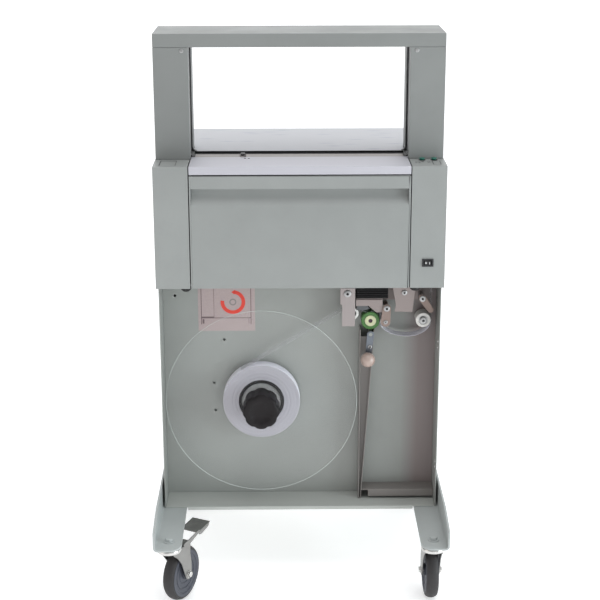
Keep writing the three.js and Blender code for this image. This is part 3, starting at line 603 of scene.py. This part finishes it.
def caster(corner):
    """A swivel caster drawn about its own axis, trailing towards +Y, then turned to where the CAD has it."""
    hub, pivot = Vector(joint_at(f"{corner}_wheel_roll")), Vector(joint_at(f"{corner}_caster_swivel"))
    trail = (hub - pivot).to_2d().length
    heading = math.atan2(hub.y - pivot.y, hub.x - pivot.x) - math.pi / 2
    place = Matrix.Translation((pivot.x, pivot.y, 0)) @ Matrix.Rotation(heading, 4, "Z")
    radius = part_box(f"{corner}_caster_wheel")[1].z / 2
    axle = (0, trail, radius)
    half = 14 * MM
    leg_in = half + 3 * MM
    leg_out = leg_in + 2.8 * MM

    # wheel: a crowned tread on a dished face with raised rings, and a hub
    bm = bmesh.new()
    depth = 9 * MM
    tread = [(radius - depth * (1 - u), 0.98 * half * v) for u, v in arc(0, 0, 1, -64, 64, 16)]
    side_of = [(radius - depth, 0.9 * half), (radius - depth, -0.9 * half)]
    lathe(bm, side_of + tread + side_of[:1], axle, "X")
    face = [(5.4, 15), (12, 15), (13, 14), (13, 10.5), (21, 10), (21.6, 11), (23.4, 11), (24, 10), (33, 10.3),
            (33.6, 11.6), (35.4, 11.6), (36, 10.6), (43, 11.2), (45, 13), (51.4, 13.4)]
    side = mm(face)
    lathe(bm, side + [(r, -t) for r, t in reversed(side)] + [side[0]], axle, "X", index=1)
    bm.transform(place)
    finish(f"{corner}_wheel", bm, [tyre, wheel_face], f"{corner}_wheel", f"{corner}_caster_wheel",
           smooth=35)

    # fork: a pressed crown with two legs that narrow to the axle
    bm = bmesh.new()
    crown, top = 131 * MM, 135 * MM
    foot_of_leg = arc(trail, radius, 12 * MM, 205, 345, 14)
    leg = ([(-11 * MM, top)] + mm([(-11, 126), (2, 116), (18, 96)]) + foot_of_leg
           + mm([(58, 84), (54, 108), (56, 126)]) + [(56 * MM, top)])
    for x0, x1 in ((leg_in, leg_out), (-leg_out, -leg_in)):
        prism(bm, leg, "YZ", x0, x1)
    prism(bm, rounded_box(0, 22.5 * MM, 2 * leg_out, 67 * MM, 5 * MM), "XY", crown, top)
    bm.transform(place)
    finish(f"{corner}_fork", bm, zinc, f"{corner}_swivel", f"{corner}_caster_fork", bevel=1.1 * MM,
           segments=3)

    # swivel race, axle and its nuts
    bm = bmesh.new()
    race = [(0, 130), (22, 130), (25, 131.4), (26, 133), (26, 137.6), (25, 139.4), (22, 140.2), (22, 141.2),
            (26, 141.6), (27, 142.6), (27, 146.6), (26, 147.4), (0, 147.4)]
    lathe(bm, mm(race), (0, 0, 0), "Z", 72)
    for sign in (-1, 1):
        washer = 1.2 * MM
        lathe(bm, disc(8.2 * MM, *sorted((0, sign * washer))), (sign * leg_out, *axle[1:]), "X", 32)
        fastener(bm, (sign * (leg_out + washer), *axle[1:]), (sign, 0, 0), 7.2 * MM, 4.2 * MM, "hexbolt")
    lathe(bm, disc(5 * MM, -leg_in, leg_in), axle, "X", 24)
    bm.transform(place)
    finish(f"{corner}_race", bm, chrome, f"{corner}_swivel", bevel=0.4 * MM)

    if corner.startswith("front"):
        brake(corner, place, leg_out)


def brake(corner, place, leg_out):
    """Pressed pedal: an arm outside each leg and a tread plate, folded down at its edges, that reaches back."""
    inner = leg_out + 0.4 * MM
    half = inner + 1.8 * MM
    arm = [(26, 132), (25, 137), (28, 139.6), (84, 146), (92, 146), (92, 139.4), (70, 135), (56, 131), (40, 130)]
    tread = [(84, 140.2), (92, 140.6), (130, 144.2), (136, 144.6), (137, 145.6), (136, 146.6), (130, 146.4),
             (92, 142.8), (84, 142.4)]
    rim = [(88, 142), (134, 146.6), (130, 138), (100, 132), (90, 134)]
    bm = bmesh.new()
    for outline in (arm, rim):
        for x0, x1 in ((-half, -inner), (inner, half)):
            prism(bm, mm(outline), "YZ", x0, x1)
    prism(bm, mm(tread), "YZ", -half, half)
    slope = 0.094
    for y in range(100, 131, 6):        # grip ribs across the tread
        z = 142.9 + (y - 92) * slope
        block(bm, (-0.7 * half, (y - 1) * MM, (z - 1) * MM), (0.7 * half, (y + 1) * MM, (z + 0.4) * MM))
    bm.transform(place)
    finish(f"{corner}_pedal", bm, zinc, f"{corner}_brake", f"{corner}_brake_pedal", bevel=0.6 * MM)


for corner in CORNERS:
    caster(corner)


# ------------------------------------------------------------------ reel
REEL = Vector((joint_at("reel_spin")[0], 0, joint_at("reel_spin")[2]))


def reel():
    low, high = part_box("tape_roll")
    outer, bore = (high.x - low.x) / 2, 50 * MM
    steps = 26
    front = []
    for i in range(steps + 1):        # layers of tape that stand a little in and out
        wave = 0.18 * MM * math.sin(i * 2.3) + 0.12 * MM * math.sin(i * 5.1)
        front.append((bore + (outer - bore) * i / steps, low.y + 0.3 * MM + wave))
    front[-1] = (outer - 0.4 * MM, low.y + 0.5 * MM)
    rest = [front[-1], (outer, low.y + 1.2 * MM), (outer, high.y - 1.2 * MM), (outer - 0.5 * MM, high.y),
            (bore, high.y), front[0]]
    bm = bmesh.new()
    lathe(bm, front, REEL, segments=160)
    # the outside gets the brighter paper: a painted highlight
    lathe(bm, rest, REEL, segments=160, index=1)
    bmesh.ops.remove_doubles(bm, verts=bm.verts, dist=1e-6)
    finish("tape_roll_wound", bm, [roll_paper, roll_side], "reel", "tape_roll", smooth=30)

    low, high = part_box("reel_hub")
    bm = bmesh.new()
    rim = bore - 0.3 * MM
    lathe(bm, from_y(low.y, [(43, 2), (43, 0)]) + [(rim - 1 * MM, low.y), (rim, low.y + 1 * MM),
                                                   (rim, high.y - 6 * MM)]
          + from_y(high.y, [(61, -6), (62, -5), (62, 0), (12, 0)]) + from_y(low.y, [(12, 8), (43, 8), (43, 2)]), REEL)
    lathe(bm, from_y(low.y, [(9, 3.4), (40, 3.4), (42.6, 1.2), (42.6, 8), (9, 8), (9, 3.4)]), REEL, index=1)
    finish("reel_hub_turned", bm, [knob_black, dish_grey], "reel", "reel_hub", smooth=30)

    low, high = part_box("clear_disc")
    radius = (high.x - low.x) / 2
    flat, hole, round_off = radius - 0.7 * MM, 12 * MM, 0.6 * MM
    bm = bmesh.new()
    lathe(bm, [(hole, low.y), (flat, low.y)], REEL, segments=192)
    lathe(bm, [(flat, low.y), (radius, low.y + round_off), (radius, high.y - round_off), (flat, high.y)], REEL,
          segments=192, index=1)
    lathe(bm, [(flat, high.y), (hole, high.y), (hole, low.y)], REEL, segments=192)
    finish("clear_disc_sheet", bm, [clear_face, clear_edge], "reel", "clear_disc", smooth=30)

    low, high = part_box("reel_spindle")
    bm = bmesh.new()
    lathe(bm, from_y(low.y, [(0, 0), (7, 0), (8, 1)])
          + from_y(high.y, [(8, -5), (21, -5), (22, -4), (22, 0), (0, 0)]), REEL, segments=64)
    finish("spindle_turned", bm, chrome, FRAME, "reel_spindle", smooth=30)


def reel_knob():
    """Eight-lobed clamping knob: hollow flutes between the lobes, a dished front and a collar behind."""
    low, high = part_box("reel_knob")
    lobes, count = 8, 192
    front, back = low.y, high.y
    grip_back = back - 14 * MM

    def outline(scale, inset):
        points = []
        for i in range(count):
            a = TAU * i / count
            wave = 0.5 + 0.5 * math.cos(a * lobes)
            r = (39.8 * MM - 2.4 * MM * (1 - wave) ** 3) * scale - inset
            points.append(polar(REEL.x, REEL.z, r, a))
        return points

    bm = bmesh.new()
    levels = ([(1, inset, grip_back + y * MM) for inset, y in ((3.2, 0), (0.9, -0.9), (0, -3))]
              + [(1, inset, front + y * MM) for inset, y in ((0, 8), (0.5, 4.5), (1.8, 2), (4.4, 0.4), (7, 0))]
              + [(scale, 0, front + y * MM) for scale, y in ((0.62, 0.6), (0.58, 2.2), (0.2, 2.6))])
    loops = [[bm.verts.new((x, y, z)) for x, z in outline(scale, inset * MM)] for scale, inset, y in levels]
    bridge(bm, loops)
    bm.faces.new(loops[0])
    bm.faces.new(loops[-1])
    lathe(bm, from_y(grip_back, [(9, -2), (30, -2), (28, 3)]) + from_y(back, [(26, -1), (25, 0), (9, 0)])
          + from_y(grip_back, [(9, -2)]), REEL)
    finish("reel_knob_moulded", bm, knob_black, "reel_clamp", "reel_knob", smooth=50)


reel()
reel_knob()


# ------------------------------------------------------------------ rollers, lever and tape
def roller(node, body, materials, profile):
    low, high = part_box(node)
    centre = Vector(((low.x + high.x) / 2, 0, (low.z + high.z) / 2))
    radius = (high.x - low.x) / 2
    bm = bmesh.new()
    for index, points in profile(radius, low.y, high.y):
        lathe(bm, points, centre, segments=72, index=index)
    finish(f"{node}_turned", bm, materials, body, node, smooth=30)


def white_roller(radius, y0, y1):
    e = 1.0 * MM
    web = 0.62 * radius
    shell = [(web, y0 + 1 * MM), (web + 0.4 * MM, y0), (radius - e, y0), (radius, y0 + e), (radius, y1 - e),
             (radius - e, y1), (web, y1), (web, y0 + 1 * MM)]
    bearing = ring(4.3 * MM, web - 0.1 * MM, y0 + 1.6 * MM, y0 + 6 * MM)
    return [(0, shell), (1, bearing)]


def small_roller(radius, y0, y1):
    e = 0.8 * MM
    return [(0, [(4.1 * MM, y0), (radius - e, y0), (radius, y0 + e), (radius, y1 - e), (radius - e, y1),
                 (4.1 * MM, y1), (4.1 * MM, y0)])]


def green_roller(radius, y0, y1):
    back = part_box("tape_roll")[1].y + 0.5 * MM
    e = 1.2 * MM
    face = y0 + 1.4 * MM
    tread = [(12.4 * MM, face), (radius - e, face), (radius, face + e), (radius, back - e), (radius - e, back),
             (12.4 * MM, back), (12.4 * MM, face)]
    rim = (from_y(y0, [(4.5, 0.8), (5.1, 0), (11.4, 0), (12.2, 0.8)]) + from_y(back, [(12.2, 0), (4.5, 0)])
           + from_y(y0, [(4.5, 0.8)]))
    return [(0, tread), (1, rim), (2, disc(4.4 * MM, y0 + 1.6 * MM, y1))]


roller("guide_roller", "guide_wheel", [white_plastic, knob_black], white_roller)
roller("loop_roller", "loop_wheel", [white_plastic, satin_grey], white_roller)
roller("pinch_roller", "pinch_wheel", [white_plastic], small_roller)
roller("drive_roller", "feed_wheel", [green_tread, cream_hub, purple_hub], green_roller)


def pinch_arm():
    low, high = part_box("pinch_arm")
    pivot, pin = joint_at("pinch_arm_swing"), joint_at("pinch_roller_spin")
    y0 = low.y + 3 * MM
    bm = bmesh.new()
    prism(bm, arc(pivot[0], pivot[2], 9 * MM, 0, 180, 20) + arc(pin[0], pin[2], 10.5 * MM, 180, 360, 20), "XZ",
          y0, y0 + 3 * MM)
    for (x, _, z), r, end in ((pivot, 5, high.y), (pin, 3.6, high.y - 6 * MM)):
        lathe(bm, disc(r * MM, y0 + 2 * MM, end), (x, 0, z), segments=32)
    fastener(bm, (pivot[0], y0, pivot[2]), (0, -1, 0), 7 * MM, 2.8 * MM, "socket", 1, 2)
    fastener(bm, (pin[0], y0, pin[2]), (0, -1, 0), 4.6 * MM, 1.6 * MM, "cross", 1, 2)
    finish("pinch_arm_plate", bm, [brown_steel, satin_grey, black], "pinch_lever", "pinch_arm",
           bevel=0.5 * MM)


def tension_lever():
    pivot = joint_at("tension_lever_swing")
    y1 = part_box("tension_lever")[1].y
    knob_low, knob_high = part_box("lever_knob")
    ball = (knob_low + knob_high) / 2
    radius = (knob_high.x - knob_low.x) / 2
    ball.y = knob_low.y + radius
    foot_x, foot_z = 149 * MM, 506 * MM
    y0 = y1 - 3 * MM
    bm = bmesh.new()
    outline = arc(pivot[0], pivot[2], 8 * MM, -10, 190, 20) + arc(foot_x, foot_z, 6.5 * MM, 190, 350, 16)
    prism(bm, outline, "XZ", y0, y1)
    lathe(bm, ring(4.2 * MM, 7 * MM, y0 - 1.2 * MM, y0 + 0.2 * MM), (pivot[0], 0, pivot[2]), segments=32)
    fastener(bm, (foot_x + 3 * MM, y0, foot_z + 12 * MM), (0, -1, 0), 4.6 * MM, 2 * MM, "socket", 1, 2)
    finish("tension_lever_bar", bm, [lever_steel, satin_grey, black], "hand_lever", "tension_lever",
           bevel=0.5 * MM)

    # ball knob on a short neck, square to the lever's lower end
    bm = bmesh.new()
    cut = y0 - 0.3 * MM - ball.y
    turns = [(radius * math.sin(a), -radius * math.cos(a)) for a in [math.pi * i / 28 for i in range(29)]]
    kept = [(r, t) for r, t in turns if t < min(cut, radius * 0.8)]
    neck = kept[-1][1] + 0.6 * MM
    lathe(bm, kept + [(5.5 * MM, neck), (0, neck)], ball, segments=72)
    finish("lever_ball", bm, ball_satin, "hand_lever", "lever_knob", smooth=30)


def smooth_route(points):
    """Centripetal curve through the points."""
    points = [Vector(p) for p in points]
    points = [2 * points[0] - points[1]] + points + [2 * points[-1] - points[-2]]
    places = []
    for k in range(len(points) - 3):
        p0, p1, p2, p3 = points[k:k + 4]
        t1 = (p1 - p0).length ** 0.5
        t2 = t1 + (p2 - p1).length ** 0.5
        t3 = t2 + (p3 - p2).length ** 0.5
        for i in range(12):
            t = t1 + (t2 - t1) * i / 12
            a1 = p0.lerp(p1, t / t1)
            a2 = p1.lerp(p2, (t - t1) / (t2 - t1))
            a3 = p2.lerp(p3, (t - t2) / (t3 - t2))
            b1 = a1.lerp(a2, t / t2)
            b2 = a2.lerp(a3, (t - t1) / (t3 - t1))
            places.append(b1.lerp(b2, (t - t1) / (t2 - t1)))
    places.append(points[-2])
    return places


def tape(name, route, material, replaces=()):
    """A strip of tape that follows a route in the XZ plane, as wide as the CAD's tape loop."""
    places = smooth_route(route)
    normals = []
    for i, p in enumerate(places):
        d = places[min(i + 1, len(places) - 1)] - places[max(i - 1, 0)]
        normals.append(Vector((-d.y, d.x)).normalized())
    sides = [[p + n * TAPE_THICK / 2 * s for p, n in zip(places, normals)] for s in (1, -1)]
    low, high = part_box("tape_loop")
    bm = bmesh.new()
    prism(bm, [tuple(p) for p in sides[0]] + [tuple(p) for p in reversed(sides[1])], "XZ", low.y, high.y)
    finish(name, bm, material, FRAME, replaces, smooth=50)


pinch_arm()
tension_lever()
TAPE_THICK = 0.35 * MM
LOOP_ROUTE = [(173.7, 598), (173.7, 586), (173.7, 575), (175.5, 564), (183, 554), (197, 545.5), (219, 539.5),
              (242, 539), (264, 545.5), (277, 556), (283, 567), (284.3, 577)]
RISE_ROUTE = [(284.3, 577.4), (284.3, 610), (284.3, 650), (284.3, 690)]
tape("tape_loop_strip", mm(LOOP_ROUTE), paper, "tape_loop")
tape("tape_rise_strip", mm(RISE_ROUTE), thin_tape)


def tape_run():
    """The run from the top of the roll, over the guide roller and down to the drive roller."""
    def rim(node, gap, *angles):
        low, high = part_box(node)
        x, z, r = (low.x + high.x) / 2, (low.z + high.z) / 2, (high.x - low.x) / 2 + gap * MM
        return [polar(x, z, r, math.radians(a)) for a in angles]

    start, = rim("tape_roll", 0.5, 122)
    over = rim("guide_roller", 0.3, 126, 90, 62)
    onto = rim("drive_roller", 0.4, 112, 80, 40)
    straight = [(start[0] + (over[0][0] - start[0]) * t, start[1] + (over[0][1] - start[1]) * t)
                for t in (0.0, 0.25, 0.5, 0.75)]
    tape("tape_run_strip", straight + over + onto, thin_tape)


tape_run()


# ------------------------------------------------------------------ controls
def button(node, body):
    """A domed cap on a stem, in a thin collar on the table."""
    low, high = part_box(node)
    axis = (*centre_of(node).xy, 0)
    top, r = high.z, (high.x - low.x) / 2
    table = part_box("front_table")[1].z
    bm = bmesh.new()
    lathe(bm, [(0, low.z), (4 * MM, low.z), (4 * MM, table + 1 * MM), (r - 1 * MM, table + 3.5 * MM),
               (r, table + 4 * MM), (r, top - 1.4 * MM), (r - 0.8 * MM, top - 0.4 * MM), (r - 2 * MM, top),
               (0, top - 0.5 * MM)], axis, "Z", 48)
    finish(f"{node}_cap", bm, green_button, body, node, smooth=30)
    bm = bmesh.new()
    lathe(bm, ring(5.6 * MM, 7.6 * MM, table + 0.05 * MM, table + 0.7 * MM), axis, "Z", 48)
    finish(f"{node}_collar", bm, black, FRAME, bevel=0.3 * MM)


button("start_button", "start_key")
button("reset_button", "reset_key")


def column_marks():
    """Plain signs beside the buttons: a square, a triangle, two bars and a rounded frame."""
    start, reset = centre_of("start_button"), centre_of("reset_button")
    z0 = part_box("front_table")[1].z + 0.02 * MM
    z1 = z0 + 0.12 * MM
    front = start.y - 24 * MM
    bm = bmesh.new()

    def frame_line(cx, cy, w, h, thin, z0, z1):
        outer = rounded_box(cx, cy, w, h, 2 * MM)
        inner = rounded_box(cx, cy, w - 2 * thin, h - 2 * thin, 1.2 * MM)
        loops = [[bm.verts.new((x, y, z)) for x, y in pts] for pts, z in
                 ((outer, z0), (outer, z1), (inner, z1), (inner, z0))]
        bridge(bm, loops + loops[:1])

    frame_line(start.x - 11 * MM, front, 10 * MM, 13 * MM, 1.8 * MM, z0, z1)
    frame_line(reset.x + 2.8 * MM, start.y - 28 * MM, 17.5 * MM, 38 * MM, 1.8 * MM, z0, z1)
    prism(bm, [(start.x + x * MM, front + y * MM) for x, y in ((-5, 12), (4, 12), (-0.5, 2))], "XY", z0, z1)
    for dx in (9.5, 13):
        block(bm, (start.x + dx * MM, front - 4 * MM, z0), (start.x + (dx + 1.8) * MM, front + 8 * MM, z1))
    # the blank recess at the other end of the table has a fine line round its floor
    floor = z0 - 1.2 * MM
    frame_line(-274.5 * MM, -99 * MM, 34.6 * MM, 53.6 * MM, 1.6 * MM, floor, floor + 0.2 * MM)
    finish("button_marks", bm, mark_grey, FRAME)


column_marks()


def rocker_marks():
    """I and O on the two halves of the rocker."""
    low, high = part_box("power_rocker")
    cx, _, cz = centre_of("power_rocker")
    right, left = cx + (high.x - low.x) * 0.27, cx - (high.x - low.x) * 0.28
    bm = bmesh.new()
    block(bm, (right - 0.5 * MM, low.y - 0.06 * MM, cz - 2.4 * MM),
          (right + 0.5 * MM, low.y + 0.9 * MM, cz + 2.4 * MM))
    lathe(bm, ring(1.2 * MM, 1.9 * MM, low.y + 1.9 * MM, low.y + 3.6 * MM), (left, 0, cz), segments=24)
    finish("rocker_marks", bm, mark_white, "rocker")


rocker_marks()


# ------------------------------------------------------------------ small trim
def winding_label():
    """Sheet on the back plate that shows which way the tape winds: a frame and an open ring arrow."""
    face = -40 * MM        # the front of the back plate
    left, right, bottom, top = -216, -106, 541, 655
    base, inner, line = 570, left + 28, 0.8
    y0, y1 = face - 0.42 * MM, face - 0.2 * MM
    bm = bmesh.new()
    block(bm, ((left - 6) * MM, face - 0.25 * MM, bottom * MM), ((right + 8) * MM, face - 0.05 * MM, top * MM))
    for x0, x1, z0, z1 in ((left, left + line * 2, base - 14, top - 4), (right - line * 2, right, base - 14, top - 4),
                           (inner, inner + line, base, top - 4), (left, right, base, base + line * 2),
                           (right - 6, right - 5, base - 12, base), (left + 3, left + 7, base - 12, base - 2),
                           (left, inner, base + 1.5, base + 4)):
        block(bm, (x0 * MM, y0, z0 * MM), (x1 * MM, y1, z1 * MM), 1)
    cx, cz = -146 * MM, 607 * MM
    for r0, r1, a0, a1, index in ((19.0, 27.0, -188, 82, 2), (5.0, 7.8, 0, 360, 3)):
        outer = arc(cx, cz, r1 * MM, a0, a1, 48)
        hole = arc(cx, cz, r0 * MM, a1, a0, 48)
        loops = [[bm.verts.new((x, y, z)) for x, z in outer + hole] for y in (y0 - 0.1 * MM, y1)]
        n = len(outer)
        for loop in loops:
            for i in range(n - 1):
                bm.faces.new([loop[i], loop[i + 1], loop[2 * n - 2 - i], loop[2 * n - 1 - i]]).material_index = index
        bridge(bm, loops, index)
    tip = [polar(cx, cz, r * MM, math.radians(a)) for r, a in ((23, 98), (28.5, 80), (17.5, 79))]
    prism(bm, tip, "XZ", y0 - 0.1 * MM, y1, 2)
    finish("winding_label", bm, [label_sheet, label_line, label_red, label_grey], FRAME)


winding_label()


def bumpers():
    """Rubber stops under the inner corners of the columns, where the front cover closes."""
    profile = [(0, -9), (7, -8), (11, -4), (12, -0.2), (0, -0.2)]
    for side, x in (("left", -241), ("right", 243)):
        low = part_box(f"{side}_side_cover")[0]
        bm = bmesh.new()
        lathe(bm, from_y(low.z, profile), (x * MM, low.y + 13 * MM, 0), "Z", 40)
        finish(f"{side}_stop", bm, black_rubber, FRAME, smooth=30)


bumpers()


def track_corners():
    """Rounded corner blocks where the upright track meets the track in the table, clear of the tape's groove."""
    low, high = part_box("arch_track")
    z = low.z
    inner, r = 230.7 * MM, 9 * MM
    groove = (-2.5 * MM, 30.5 * MM)
    bm = bmesh.new()
    for side in (-1, 1):
        curve = [(side * (inner - r + r * math.cos(a)), z + r - r * math.sin(a))
                 for a in (math.pi / 2 * i / 10 for i in range(11))]
        for y0, y1 in ((low.y, groove[0]), (groove[1], high.y)):
            prism(bm, [(side * inner, z)] + curve[::-1] if side < 0 else curve + [(side * inner, z)], "XZ", y0, y1)
    finish("track_corners", bm, track_black, FRAME)


track_corners()


def slot_trim():
    """The black cap on the tape guide in the slot, and a small locating screw in the table in front of it."""
    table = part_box("front_table")[1].z
    low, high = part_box("slot_plate")
    front, back = low.y + 3.2 * MM, high.y - 3.4 * MM
    bm = bmesh.new()
    outline = rounded_box(-120.5 * MM, (front + back) / 2, 9 * MM, back - front - 4 * MM, 1.2 * MM)
    prism(bm, outline, "XY", table + 1.5 * MM, table + 4.6 * MM)
    for x in (-115, -107):
        fastener(bm, (x * MM, -54 * MM, table), (0, 0, 1), 2.4 * MM, 0.6 * MM)
    finish("slot_trim", bm, knob_black, FRAME, bevel=0.2 * MM)


slot_trim()


def coil_housing():
    """The feed solenoid's finned body."""
    low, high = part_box("feed_solenoid")
    count = 9
    pitch = (high.z - low.z) / count
    rows = []
    for i in range(count):
        z = low.z + i * pitch
        rows += [(low.y, z + 0.16 * pitch), (low.y, z + 0.66 * pitch), (low.y + 4 * MM, z + 0.72 * pitch)]
        if i < count - 1:
            rows.append((low.y + 4 * MM, z + 1.10 * pitch))
    rows[-1] = (low.y + 0.6 * MM, high.z)
    bm = bmesh.new()
    prism(bm, [(high.y, low.z), (low.y + 0.6 * MM, low.z)] + rows + [(high.y, high.z)], "YZ", low.x, high.x)
    finish("feed_solenoid_coil", bm, fin_black, FRAME, "feed_solenoid", bevel=0.3 * MM)


coil_housing()


def feed_guards():
    """The plate under the coil and the small tape guide that leads on to the drive roller."""
    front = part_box("pinch_arm")[0].y + 6.4 * MM
    bm = bmesh.new()
    guard = [(121.2, 626), (121.2, 612.8), (145, 612.8), (153, 605), (165, 594.2), (178.4, 594.2), (178.4, 626)]
    prism(bm, mm(guard[::-1]), "XZ", front, front + 1.5 * MM)
    shoe = [(122.4, 612.2), (122.4, 600.6), (133, 599), (141, 599.6), (150.6, 602.4), (144, 611.8)]
    prism(bm, mm(shoe[::-1]), "XZ", front + 0.5 * MM, front + 26 * MM, 1)
    finish("feed_guards", bm, [guard_steel, slate], FRAME, bevel=0.3 * MM)


feed_guards()


def fasteners():
    """Screws and bolts, grouped by what they hold."""
    def row(y, xs, zs, facing, radius, height, drive="cross", dark=None):
        for x in xs:
            for z in zs:
                fastener(bm, (x * MM, y, z * MM), (0, facing, 0), radius * MM, height * MM, drive, 0, dark)

    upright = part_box("arch_left_upright")
    bm = bmesh.new()
    row(upright[0].y, (-243, 243), (1155,), -1, 4.4, 1.4)
    row(upright[1].y, (-285, -245, 245, 285), (1150,), 1, 4, 1.8)
    finish("arch_screws", bm, satin_grey, FRAME)

    bm = bmesh.new()
    row(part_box("rear_cover")[1].y, (-288, 0, 288), (170, 650), 1, 4.5, 2)
    row(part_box("rear_upper_cover")[1].y, (-215, 215), (685, 905), 1, 4.5, 2)
    low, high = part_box("power_inlet")
    for x in (low.x + 4.5 * MM, high.x - 4.5 * MM):
        fastener(bm, (x, high.y, (low.z + high.z) / 2), (0, 1, 0), 2.6 * MM, 1.2 * MM)
    for side, wall in ((-1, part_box("left_side_cover")[0].x), (1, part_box("right_side_cover")[1].x)):
        for y in (-110, 60, 270):
            fastener(bm, (wall, y * MM, 682 * MM), (side, 0, 0), 4.5 * MM, 2 * MM)
    finish("cover_screws", bm, zinc, FRAME)

    # the bolts that hold the casters, over a washer on the foot
    bm = bmesh.new()
    top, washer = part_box("foot_left")[0].z + 4 * MM, 1.8 * MM
    for corner in CORNERS:
        x, y, _ = joint_at(f"{corner}_caster_swivel")
        lathe(bm, disc(12 * MM, top, top + washer), (x, y, 0), "Z", 32)
        fastener(bm, (x, y, top + washer), (0, 0, 1), 8.6 * MM, 6 * MM, "hexbolt")
    finish("foot_bolts", bm, foot_paint, FRAME, bevel=0.5 * MM)

    # the screws of the feed mechanism
    bm = bmesh.new()
    row(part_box("guide_bracket")[0].y, (102.5,), (638,), -1, 8, 3.8, "socket", 1)
    row(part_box("feed_plate")[0].y, (225,), (640,), -1, 6, 3.4, "socket", 1)
    for joint, y, radius, height in (("loop_roller_spin", -80, 7.5, 2.8), ("loop_arm_swing", -83.7, 7, 3)):
        x, _, z = joint_at(joint)
        fastener(bm, (x, y * MM, z), (0, -1, 0), radius * MM, height * MM, "socket", 0, 1)
    finish("mechanism_screws", bm, [satin_grey, black], FRAME)

    # small screws through the cabinet's right wall and the plate behind the reel
    bm = bmesh.new()
    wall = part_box("cabinet_right_wall")[1].x - 2 * MM
    for z in (520, 534, 240, 254):
        fastener(bm, (wall, -98 * MM, z * MM), (-1, 0, 0), 3.2 * MM, 1.6 * MM)
    finish("wall_screws", bm, chrome, FRAME)


fasteners()


def inlet_pins():
    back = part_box("power_inlet")[1].y
    cx, _, cz = centre_of("power_inlet")
    bm = bmesh.new()
    for dx, dz in ((-7, -1), (0, 2), (7, -1)):
        block(bm, (cx + (dx - 1) * MM, back - 20 * MM, cz + (dz - 2) * MM),
              (cx + (dx + 1) * MM, back - 4 * MM, cz + (dz + 2) * MM))
    finish("inlet_pins", bm, chrome, FRAME, bevel=0.3 * MM)


inlet_pins()


# ------------------------------------------------------------------ floor, light and camera
def studio():
    """A pale floor that bends up into a backdrop, a pale sky and four square lamps."""
    s = Shader("floor")
    haze = s.noise(3.0, 3)
    s.set(Base_Color=s.ramp(haze, [(0.3, (0.86, 0.86, 0.865)), (0.7, (0.9, 0.9, 0.905))]), Roughness=0.7)
    s.set(Emission_Color=(1, 1, 1, 1), Emission_Strength=0.42)
    bm = bmesh.new()
    width, front, back, rise, bend, gap = 9.0, -6.0, 3.2, 6.0, 1.2, 0.0005
    curve = [(front, 0), (back, 0)] + arc(back, bend, bend, -80, 0, 8) + [(back + bend, rise)]
    loops = [[bm.verts.new((x, y, z - gap)) for y, z in curve] for x in (-width, width)]
    for i in range(len(curve) - 1):
        bm.faces.new([loops[0][i], loops[1][i], loops[1][i + 1], loops[0][i + 1]])
    mesh = bpy.data.meshes.new("floor")
    bm.to_mesh(mesh)
    bm.free()
    mesh.shade_smooth()
    mesh.materials.append(s.material)
    floor = bpy.data.objects.new("floor", mesh)
    scene.collection.objects.link(floor)

    world = bpy.data.worlds.new("studio")
    world.use_nodes = True
    sky = world.node_tree.nodes["Background"].inputs
    sky["Color"].default_value = (0.97, 0.985, 1.0, 1)
    sky["Strength"].default_value = 0.60
    scene.world = world
    scene.view_settings.view_transform = "Standard"
    for name, place, aim, size, power, colour in (
            ("key", (3.2, -1.7, 0.9), (0, 0, 0.5), 2.0, 66, (0.90, 1.0, 1.03)),
            ("front", (0.9, -3.6, 0.7), (0, 0, 0.6), 2.2, 5, (1.0, 0.99, 0.98)),
            ("left", (-3.2, -1.8, 1.2), (0, 0, 0.5), 2.0, 10, (1.0, 0.90, 0.80)),
            ("top", (0.2, -0.2, 3.4), (0, 0, 0.9), 2.4, 48, (1.0, 1.0, 1.0))):
        data = bpy.data.lights.new(name, "AREA")
        data.shape = "SQUARE"
        data.size = size
        data.energy = power
        data.color = colour
        lamp = bpy.data.objects.new(name, data)
        lamp.location = place
        lamp.rotation_euler = (Vector(aim) - Vector(place)).to_track_quat("-Z", "Y").to_euler()
        scene.collection.objects.link(lamp)


def camera():
    """About 3 m in front, 17 degrees down, as fitted to the photo's edges."""
    pitch, yaw, roll = math.radians(17.0), math.radians(0.6), math.radians(-0.1)
    ahead = Vector((math.sin(yaw) * math.cos(pitch), math.cos(yaw) * math.cos(pitch), -math.sin(pitch)))
    right = Vector((math.cos(yaw), -math.sin(yaw), 0))
    up = right.cross(ahead)
    right, up = right * math.cos(roll) + up * math.sin(roll), up * math.cos(roll) - right * math.sin(roll)
    data = bpy.data.cameras.new("camera")
    data.sensor_width = 36
    data.lens = 86.8
    cam = bpy.data.objects.new("camera", data)
    place = (-0.031, -3.0625, 1.535)
    cam.matrix_world = Matrix([(right[i], up[i], -ahead[i], place[i]) for i in range(3)] + [(0, 0, 0, 1)])
    scene.collection.objects.link(cam)
    scene.camera = cam


studio()
camera()
